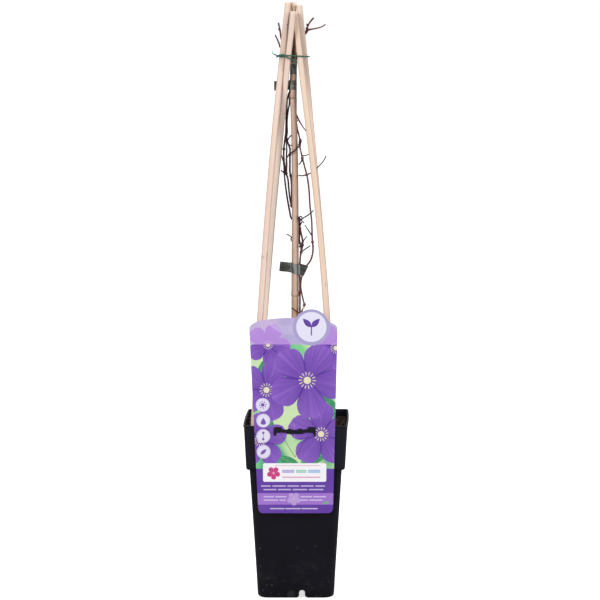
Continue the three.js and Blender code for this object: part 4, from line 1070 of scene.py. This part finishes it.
def make_tape(name, width, route, lean, seed):
    """A puckered strip on edge along its route, which tips by lean where it turns at its right."""
    centres, far = smooth_route(route, 0.6)
    rows = np.linspace(0.5, -0.5, TAPE_ROWS)
    rings, straight = [], []
    for centre, heading, along in zip(centres, headings_along(centres), far):
        rise = np.array((0.0, 0, 1))
        if lean:
            rise[0] = LOW_TAPE_TIP + (lean - LOW_TAPE_TIP) * max(centre[0], 0) / LOW_TAPE_RIGHT_X
        side = np.cross(heading, rise) * (1, 1, 0)
        side /= np.linalg.norm(side)
        pucker = np.array([0.2 * noise.noise((along / 5, 2.4 * v, seed))
                           + 0.13 * noise.noise((along / 1.6, 5 * v, seed + 9)) for v in rows])
        edge = 0.012 * noise.noise((along / 3, 0.7, seed)) + 0.008 * noise.noise((along / 0.9, 0.2, seed))
        middle = centre + rise * (rows[:, None] * width * (1 + edge)) + side * pucker[:, None]
        rings.append(np.vstack([middle + side * TAPE_THICKNESS / 2,
                                (middle - side * TAPE_THICKNESS / 2)[::-1]]))
        flat = np.column_stack([np.full(len(rows), along), rows * width, 0 * rows])
        straight.append(np.vstack([flat, flat[::-1]]))
    tape = to_object(name, lofted(rings), 0.8)
    straightened(tape, np.concatenate(straight) + (TAPE_SPACING * seed, 0, 0))
    return tape


# painted shade in dark folds and painted sheen in pale streaks, each by its place along the tapes laid end
# to end and its reach
FOLD_PAINTED_SHADE, PAINTED_SHEEN = (0.008, 0.008, 0.007), (0.42, 0.43, 0.42)
TAPE_FOLDS = [(21, 1.4, 0.35, PAINTED_SHEEN), (27.5, 1.6, 0.6, FOLD_PAINTED_SHADE), (59, 0.8, 0.7, PAINTED_SHEEN), (61.5, 2.4, 0.2, PAINTED_SHEEN),
              (57, 0.9, 0.7, FOLD_PAINTED_SHADE), (77, 5, 0.35, FOLD_PAINTED_SHADE), (87.2, 0.7, 0.9, FOLD_PAINTED_SHADE), (89.4, 0.7, 0.85, FOLD_PAINTED_SHADE),
              (88.3, 0.4, 0.7, PAINTED_SHEEN), (94, 2.4, 0.6, PAINTED_SHEEN), (99, 1, 0.5, PAINTED_SHEEN), (104, 3.2, 0.5, FOLD_PAINTED_SHADE)]
FILM_TONES = (0.042, 0.046, 0.04), (0.078, 0.083, 0.074)
FILM_STREAK, FILM_CREASE = (0.19, 0.2, 0.185), (0.24, 0.245, 0.235)
stretched_tape, shader, place = new_surface("tape_plastic", 0.55, straight=True)
streaks = streaks_in(place, (45, 900, 1), 4.0, 0.65)
broad = streaks_in(place, (60, 260, 1))
creases = streaks_in(place, (420, 90, 1), 3.0)
film = tint(broad.soft(0.35, 0.65), *FILM_TONES)
film = tint(streaks.soft(0.5, 0.72), film, FILM_STREAK)
film = tint(creases.soft(0.6, 0.72), film, FILM_CREASE)
axes = parted(place)
slant = axes["X"] + axes["Y"] * 0.22
# dark folds of painted shade and pale streaks of painted sheen
for along, reach, share, colour in TAPE_FOLDS:
    away = abs(slant - along * MM)
    film = tint(away.soft(reach * 0.0012, reach * 0.0005) * share, film, colour)
finish(shader, film, 0.2 + streaks * 0.2, streaks + creases * 1.6, 0.6, 0.0003)
for seed, (band, (width, route)) in enumerate(TAPES.items()):
    tape = make_tape("tape_" + band, width, route, LOW_TAPE_LEAN if band == "low" else 0, seed)
    tape.data.materials.append(stretched_tape)
    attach(tape, "root")
    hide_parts("tape_" + band)

# Tie wire
# Garden wire in a green plastic coat: one length looped round all four sticks, twisted by hand on the front
# left one and left with its snipped ends standing off.

WIRE_RADIUS = 0.82
TWIST_RADIUS = 1.1
KNOT_START = np.array((-14.4, -9.8, 673.4))
KNOT_END = np.array((-20.6, -9.2, 673))
KNOT_TURNS = 2.5
WIRE_SPACING = 50


def twisted_strand(phase):
    """One of the two strands of the knot, wound about the line between the knot's ends."""
    share = np.linspace(0, 1, 21)
    angles = phase + share * KNOT_TURNS * 2 * math.pi
    middle = KNOT_START + (KNOT_END - KNOT_START) * share[:, None]
    wound = np.column_stack([0 * angles, np.cos(angles), np.sin(angles)])
    return (middle + TWIST_RADIUS * wound).tolist()


def wire_radius(share, far, angles):
    """Nearly round: the coat is pressed and nicked a little by the pliers."""
    return WIRE_RADIUS * (1 + 0.05 * np.cos(2 * angles + far / 4) + 0.05 * noise.noise((far / 2, 5, 5)))


upper, lower = twisted_strand(0), twisted_strand(math.pi)
wire_routes = [
    upper,
    lower,
    [upper[0], (-12.8, -12.5, 673.4), (-8, -12.7, 673.2), (0, -12.3, 672.8), (7.5, -11.9, 672.4),
     (11, -11, 672.2), (13.6, -6.5, 672.1), (16.1, 0.2, 672), (16.5, 6, 672), (14.8, 9.6, 672),
     (9, 11.3, 672), (0.5, 11.8, 672), (-6.5, 11.8, 672.2), (-13, 8.4, 672.6), (-20, 2.9, 673),
     (-21.9, -1.5, 673.2), (-21.9, -6, 673.2), lower[-1]],
    [lower[0], (-12.8, -12.9, 671.6), (-8, -13.1, 670), (-3, -12.6, 668.2), (0.1, -11.8, 666.8),
     (1, -9.2, 665.8), (0.9, -7, 663.8), (0.8, -6.6, 660)],
    [upper[-1], (-23.4, -9.4, 673.6), (-26.2, -9, 674.6), (-28.6, -8.6, 676.4), (-29.2, -8.4, 678.6)],
    [lower[-1], (-22.6, -9.8, 671.8), (-24.6, -10.4, 671.4)],
]
wires = [tube(route, 0.55, 12, wire_radius) for route in wire_routes]
tie_wire = to_object("tie_wire_coated", gathered([body for body, straight in wires]), 1.0)
laid_out = [straight + (0, 0, WIRE_SPACING * i) for i, (body, straight) in enumerate(wires)]
straightened(tie_wire, np.concatenate(laid_out))

COAT_GREENS = (0.004, 0.075, 0.048), (0.012, 0.15, 0.1)
COAT_WORN, COAT_TIP = (0.1, 0.3, 0.2), (0.3, 0.62, 0.56)
wire_coat, shader, place = new_surface("wire_coat", 0.5, straight=True)
axes = parted(node(place.tree, "TexCoord", out="Object"))
worn = streaks_in(place, (500, 500, 120), 4.0, 0.6)
coat = tint(worn.soft(0.35, 0.65), *COAT_GREENS)
coat = tint(worn.soft(0.66, 0.74), coat, COAT_WORN)
coat = tint(axes["X"].soft(-0.026, -0.0275) * axes["Z"].soft(0.672, 0.675) * 0.75, coat, COAT_TIP)
finish(shader, coat, 0.3 + worn * 0.25, worn, 0.5, 0.0002)
tie_wire.data.materials.append(wire_coat)
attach(tie_wire, "root")
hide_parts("tie_wire")

# Plant label
# A die-cut sheet of printed plastic with a round lobe, hung on the pot's lug through its slot, and with a
# guide line of dashes pressed in under the slot. The print is a plain design of blossoms, bands and signs.

LABEL_THICKNESS = 0.7
LABEL_BACK_Y = -65
LABEL_LEAN = 0.02
LABEL_HANG_Z = 215.1
SLOT_GAP = 0.3
HEADER_Z, FOOT_Z, BAND_HIGH_Z, BAND_LOW_Z = 322.5, 167.7, 136.9, 122.4
LOBE_X, LOBE_Z, LOBE_RADIUS = 19, 344.1, 21.9
PRINT_EDGE = 0.2


def bend(start, pull, end, steps=7):
    """Points along a quadratic curve after its start."""
    return [tuple(s * (1 - t) ** 2 + 2 * p * t * (1 - t) + e * t * t for s, p, e in zip(start, pull, end))
            for t in np.linspace(0, 1, steps + 1)[1:]]


def grown(outline, gap):
    """An outline moved outwards all round by a gap."""
    points = np.array(outline, float)
    before, after = points - np.roll(points, 1, axis=0), np.roll(points, -1, axis=0) - points
    area = (points[:, 0] * after[:, 1] - points[:, 1] * after[:, 0]).sum()
    out = np.column_stack([before[:, 1], -before[:, 0]]) / np.linalg.norm(before, axis=1)[:, None]
    out += np.column_stack([after[:, 1], -after[:, 0]]) / np.linalg.norm(after, axis=1)[:, None]
    share = out / (out * out).sum(axis=1)[:, None] * 2
    return points + math.copysign(gap, area) * share


lobe_arc = round_points(LOBE_X, LOBE_Z, LOBE_RADIUS, np.linspace(0.34, 2.6, 36))
label_outline = [(-40.6, 111.6), (39.7, 111.6), *bend((39.7, 111.6), (45.6, 112), (46, 119)),
                 *[(46 + 5 * t, 119 + 222 * t) for t in np.linspace(0, 1, 9)[1:]],
                 *bend((51, 341), (50.6, 346.4), (46.1, 347.8)), *lobe_arc,
                 *bend(lobe_arc[-1], (-33.5, 355.4), (-47.6, 350.5), 12),
                 *bend((-47.6, 350.5), (-57, 347.4), (-56.9, 341.2)),
                 *[(-56.9 + 10.2 * t, 341.2 - 222.2 * t) for t in np.linspace(0, 1, 9)[1:]],
                 *bend((-46.7, 119), (-46.4, 112), (-40.6, 111.6))[:-1]]
label = to_object("plant_label", prism(label_outline, LABEL_BACK_Y - LABEL_THICKNESS, LABEL_BACK_Y), 0.5)
slot = prism(grown(lug_outline, SLOT_GAP), LABEL_BACK_Y - 4, LABEL_BACK_Y + 4)
shaped_by(label, to_object("slot", slot), "DIFFERENCE")
for vertex in label.data.vertices:
    vertex.co.y -= LABEL_LEAN * (vertex.co.z - LABEL_HANG_Z * MM)
label.data.shade_flat()


def drawing(name, numbers, outputs=("Mask",)):
    """A group to be filled, which draws one shape by a place in millimetres and a few numbers."""
    return new_group(name, {"X": 0.0, "Z": 0.0, **numbers}, outputs)


# bar: a rounded box between two corners
bar, of, feeds = drawing("bar", {"Left": 0.0, "Right": 1.0, "Low": 0.0, "High": 1.0, "Round": 0.5})
sides = []
for along, low, high in (("X", "Left", "Right"), ("Z", "Low", "High")):
    off = abs(of[along] - (of[low] + of[high]) * 0.5) - (of[high] - of[low]) * 0.5
    sides.append((off + of["Round"]).by("MAXIMUM", 0.0))
(sides[0].far(sides[1]) - of["Round"]).soft(PRINT_EDGE, -PRINT_EDGE).into(feeds["Mask"])

# leaf: pointed at both ends, with a midrib and side veins
leaf, of, feeds = drawing("leaf", {"Length": 10.0, "Width": 3.0, "Turn": 0.0}, ("Mask", "Rib"))
cosine, sine = of["Turn"].by("COSINE"), of["Turn"].by("SINE")
along = (of["X"] * cosine + of["Z"] * sine) / of["Length"]
across = (of["Z"] * cosine - of["X"] * sine) / of["Width"]
swell = (1.0 - along * along) * (1.0 - along * 0.25).by("MAXIMUM", 0.1)
(swell - abs(across)).soft(0.0, 0.08).into(feeds["Mask"])
combs = (along * 16.0 - abs(across) * 5.0).by("SINE").soft(0.8, 1.0) * 0.5
abs(across).soft(0.09, 0.02).by("MAXIMUM", combs).into(feeds["Rib"])

# blossom: five broad petals with fine veins, round a small heart
blossom, of, feeds = drawing("blossom", {"Size": 40.0, "Turn": 0.0}, ("Petals", "Tone", "Heart"))
far = of["X"].far(of["Z"]) / of["Size"]
angle = of["Z"].by("ARCTAN2", of["X"]) + of["Turn"]
lobes = abs((angle * 2.5).by("COSINE"))
round_place = node(blossom, "CombineXYZ", {0: angle.by("COSINE"), 1: angle.by("SINE")})
wavy = shade_noise(round_place, 3.0) * 0.16
reach = lobes.by("POWER", 0.42) * 0.55 + 0.38 + wavy
(reach - far).soft(0.0, 0.025).into(feeds["Petals"])
veins = streaks_in(round_place, (14.0, 14.0, 1.0), 4.0, 0.6)
folds = lobes.soft(0.34, 0.0) * 0.35
ridge = lobes.soft(0.985, 1.0) * 0.16
tone = (veins - 0.5) * 0.9 + far * 0.45 + 0.2 - folds + ridge
tone.by("MINIMUM", 1.0).by("MAXIMUM", 0.0).into(feeds["Tone"])
button = far.soft(0.105, 0.085)
stamens = (angle * 14.0).by("SINE").soft(0.2, 0.8) * far.soft(0.235, 0.2) * far.soft(0.12, 0.14)
button.by("MAXIMUM", stamens * 0.85).into(feeds["Heart"])

# the violets and greens that the label is printed in
DEEP_INK, FOOT_INK = (0.1, 0.03, 0.318), (0.119, 0.037, 0.355)
SIGN_INK, PALE_INK, RULE_INK = (0.175, 0.075, 0.424), (0.355, 0.172, 0.606), (0.75, 0.679, 0.857)
GARDEN_TONES, GLADE = ((0.187, 0.625, 0.244), (0.619, 0.78, 0.435)), (0.051, 0.404, 0.168)
LEAF_TONES, SPRIG = ((0.034, 0.284, 0.109), (0.284, 0.625, 0.284)), (0.194, 0.404, 0.244)
PETAL_TONES, STAMENS = ((0.087, 0.018, 0.301), (0.318, 0.139, 0.625)), (0.81, 0.75, 0.513)
ROSE_TONES = (0.625, 0.045, 0.222), (0.889, 0.736, 0.81)
FADED_TONES = (0.693, 0.537, 0.81), (0.857, 0.81, 0.707)
VEIL, RIPPLE = (0.574, 0.327, 0.795), (0.574, 0.513, 0.75)
LOBE_EDGE, LOBE_FACE, SPROUT_RIB = (0.404, 0.355, 0.612), (0.795, 0.765, 0.905), (0.404, 0.267, 0.625)
DISC, DISC_RIM, PANEL = (0.78, 0.736, 0.873), (0.284, 0.162, 0.537), (0.93, 0.913, 0.93)
PRESSED, FOLDED, GRIME = (0.02, 0.012, 0.042), (0.574, 0.513, 0.736), (0.574, 0.513, 0.625)
label_print, shader, place = new_surface("label_print", 0.25)
axes = parted(place)
across, up = axes["X"] / MM, axes["Z"] / MM


def drawn(group, x, z, out="Mask", **numbers):
    """A group's shape with its own origin at x, z on the face of the label that is being printed."""
    settings = {"X": across - x, "Z": up - z, **numbers}
    outputs = node(across.tree, "Group", settings, None, node_tree=group)
    return outputs[out] if isinstance(out, str) else [outputs[each] for each in out]


def barred(left, right, low, high, rounding=0.4):
    return drawn(bar, 0, 0, Left=left, Right=right, Low=low, High=high, Round=rounding)


def dotted(x, z, radius):
    return (across - x).far(up - z).soft(radius + PRINT_EDGE, radius - PRINT_EDGE)


def above(z):
    return (up - z).soft(-PRINT_EDGE, PRINT_EDGE)


def below(z):
    return (up - z).soft(PRINT_EDGE, -PRINT_EDGE)


# the picture: blossoms and leaves before a blurred garden
haze = shade_noise(place, 26.0, 1.0)
glade = shade_noise(stretched(place, (1.3, 1, 0.8)), 15.0, 0.0)
ink = tint(haze.soft(0.38, 0.6), *GARDEN_TONES)
ink = tint(glade.soft(0.52, 0.66), ink, GLADE)
for x, z, length, width, turn in ((-30, 300, 24.0, 9.0, 0.7), (42, 246, 22.0, 8.0, 2.3),
                                  (24, 182, 20.0, 8.0, 0.35), (-8, 176, 17.0, 6.5, 2.6),
                                  (-34, 226, 18.0, 6.0, 1.9)):
    blade, rib = drawn(leaf, x, z, ("Mask", "Rib"), Length=length, Width=width, Turn=turn)
    ink = tint(blade, ink, tint(rib * 0.55, *LEAF_TONES))
for x, z, size, turn in ((49, 318, 31.0, 0.4), (-34, 322, 27.0, 2.6), (-44, 203, 34.0, 0.9),
                         (31, 211, 41.0, 2.2), (-36, 266, 39.0, 1.3), (14, 278, 48.0, 0.15)):
    petals, tone, heart = drawn(blossom, x, z, ("Petals", "Tone", "Heart"), Size=size, Turn=turn)
    ink = tint(petals, ink, tint(heart, tint(tone, *PETAL_TONES), STAMENS))

# the veil over the top, with a paler ripple in it, and the lobe with its sprout
veil = above(HEADER_Z)
ripple = (across + 4).far(up - 372).soft(38.5, 37) * (across + 16).far(up - 388).soft(41, 43)
ink = tint(veil * 0.72, ink, VEIL)
ink = tint(veil * (ripple * 0.5), ink, RIPPLE)
ink = tint(dotted(LOBE_X, LOBE_Z, LOBE_RADIUS + 1), ink, LOBE_EDGE)
ink = tint(dotted(LOBE_X, LOBE_Z, 18.5), ink, LOBE_FACE)
ink = tint(barred(LOBE_X - 0.7, LOBE_X + 0.7, 333.5, 346, 0.7), ink, DEEP_INK)
for way, turn in ((-1, 2.35), (1, 0.8)):
    blade, rib = drawn(leaf, LOBE_X + 5.2 * way, 349.2, ("Mask", "Rib"), Length=7.6, Width=3.4, Turn=turn)
    ink = tint(blade, ink, tint(rib * 0.35, DEEP_INK, SPROUT_RIB))

# four signs in discs: sun, drop, height and leaf
for x, z in ((-40.7, 247.5), (-40, 227.9), (-40, 208.6), (-39.7, 188.9)):
    ink = tint(dotted(x, z, 8.5), ink, DISC)
    ink = tint((dotted(x, z, 7.9) - dotted(x, z, 7.5)) * 0.5, ink, DISC_RIM)
sun_x, sun_z = across + 40.7, up - 247.5
sun_far = sun_x.far(sun_z)
beams = sun_far.soft(4.9, 4.6) * sun_far.soft(2.9, 3.2)
beams = beams * (sun_z.by("ARCTAN2", sun_x) * 8.0).by("SINE").soft(0.1, 0.6)
ink = tint(sun_far.soft(2.4, 2.1).by("MAXIMUM", beams), ink, SIGN_INK)
drop_x, drop_z = across + 40.0, up - 227.0
taper = (1.0 - drop_z * 0.16).by("MAXIMUM", 0.12)
ink = tint((drop_x / taper).far(drop_z * 0.62).soft(2.9, 2.5), ink, SIGN_INK)
ink = tint(barred(-40.3, -39.7, 204.4, 212.8, 0.3), ink, SIGN_INK)
for tip in (204.6, 212.6):
    ink = tint(drawn(leaf, -40, tip, Length=1.7, Width=1.7, Turn=0.0), ink, SIGN_INK)
ink = tint(drawn(leaf, -39.7, 188.9, Length=5.0, Width=2.1, Turn=0.75), ink, SIGN_INK)

# the foot of the label: plain bands, a pale panel and rules in place of lines of print
ink = tint(below(FOOT_Z), ink, FOOT_INK)
ink = tint(below(BAND_HIGH_Z) * above(BAND_LOW_Z), ink, PALE_INK)
ink = tint(barred(-40.5, 37.5, 151.2, 174.5, 2.2), ink, PANEL)
for left, right, low, high, colour in (
        (-26, 30, 171.3, 171.8, (0.722, 0.145, 0.327)),
        (-17, -2, 162.2, 166.4, (0.513, 0.457, 0.707)), (0, 13, 162.2, 166.4, (0.424, 0.679, 0.574)),
        (15, 30, 162.2, 166.4, (0.414, 0.574, 0.78)), (-17, 30, 156.2, 157.6, (0.75, 0.284, 0.457))):
    ink = tint(barred(left, right, low, high, 0.2 if high - low < 1 else 0.65), ink, colour)
petals, heart = drawn(blossom, -27.5, 162.2, ("Petals", "Heart"), Size=8.2, Turn=0.3)
ink = tint(petals, ink, tint(heart, *ROSE_TONES))
petals, heart = drawn(blossom, -2.5, 129.6, ("Petals", "Heart"), Size=8.5, Turn=0.3)
ink = tint(petals * 0.45, ink, tint(heart, *FADED_TONES))
ink = tint(drawn(leaf, 37.5, 124.9, Length=5.2, Width=1.9, Turn=0.2), ink, SPRIG)
for low, rules in ((145.1, ((-43, -31), (-29, -12), (-10.5, 4), (6, 22), (24, 36))),
                   (140.6, ((-40, -24), (-22, -6), (-4, 14), (16, 34))),
                   (131.6, ((-40, -27), (-25.5, -11.5), (5.5, 20), (21.5, 37))),
                   (127.3, ((-40, -22), (-20.5, -12.5), (5.5, 15), (16.5, 33))),
                   (116.6, ((-32, -14), (-13, 6), (7, 27)))):
    for left, right in rules:
        ink = tint(barred(left, right, low, low + 1.5, 0.6) * 0.72, ink, RULE_INK)

# the pressed guide line under the slot, and the fold mark across it
guide = abs(abs(across + 1.1) * 1.64 - (up - 182.3)).soft(1.0, 0.5)
dashes = (up * 3.4).by("SINE").soft(-0.9, -0.5)
guide = guide * dashes * below(211.7) * above(181.5)
fold = abs(across + 1.7).soft(0.35, 0.1) * abs(up - 213.0).soft(11.2, 10.6)
ink = tint(guide * 0.85, ink, PRESSED)
ink = tint(fold * 0.5, ink, FOLDED)
grime = mottled(place, 30.0, 0.6)
ink = tint(grime * 0.07, ink, GRIME)
relief = shade_noise(place, 900.0, 2.0) * 0.25 - (guide * 1.2 + fold * 0.8)
finish(shader, ink, 0.34 + grime * 0.16, relief, 0.4, 0.00012)

label_back, shader, place = new_surface("label_back", 0.3)
axes = parted(place)
across, up = axes["X"] / MM, axes["Z"] / MM
grime = mottled(place, 26.0, 0.7)
SHEET, SHEET_HEADER, SHEET_RULE = (0.78, 0.75, 0.857), (0.513, 0.364, 0.707), (0.457, 0.374, 0.639)
SHEET_GRIME = (0.479, 0.424, 0.457)
sheet = tint(above(HEADER_Z), SHEET, SHEET_HEADER)
sheet = tint(below(BAND_HIGH_Z), sheet, FOOT_INK)
for low in (300, 291, 282, 273, 264, 190, 181, 172, 163):
    sheet = tint(barred(-36, 34 - (low * 7) % 19, low, low + 2, 0.8), sheet, SHEET_RULE)
sheet = tint(grime * 0.14, sheet, SHEET_GRIME)
finish(shader, sheet, 0.4 + grime * 0.2, shade_noise(place, 900.0, 2.0), 0.3, 0.0001)
label.data.materials.clear()
label.data.materials.append(label_print)
label.data.materials.append(label_back)
for face in label.data.polygons:
    face.material_index = 0 if face.normal.y < -0.5 else 1
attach(label, "root")
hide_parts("label")
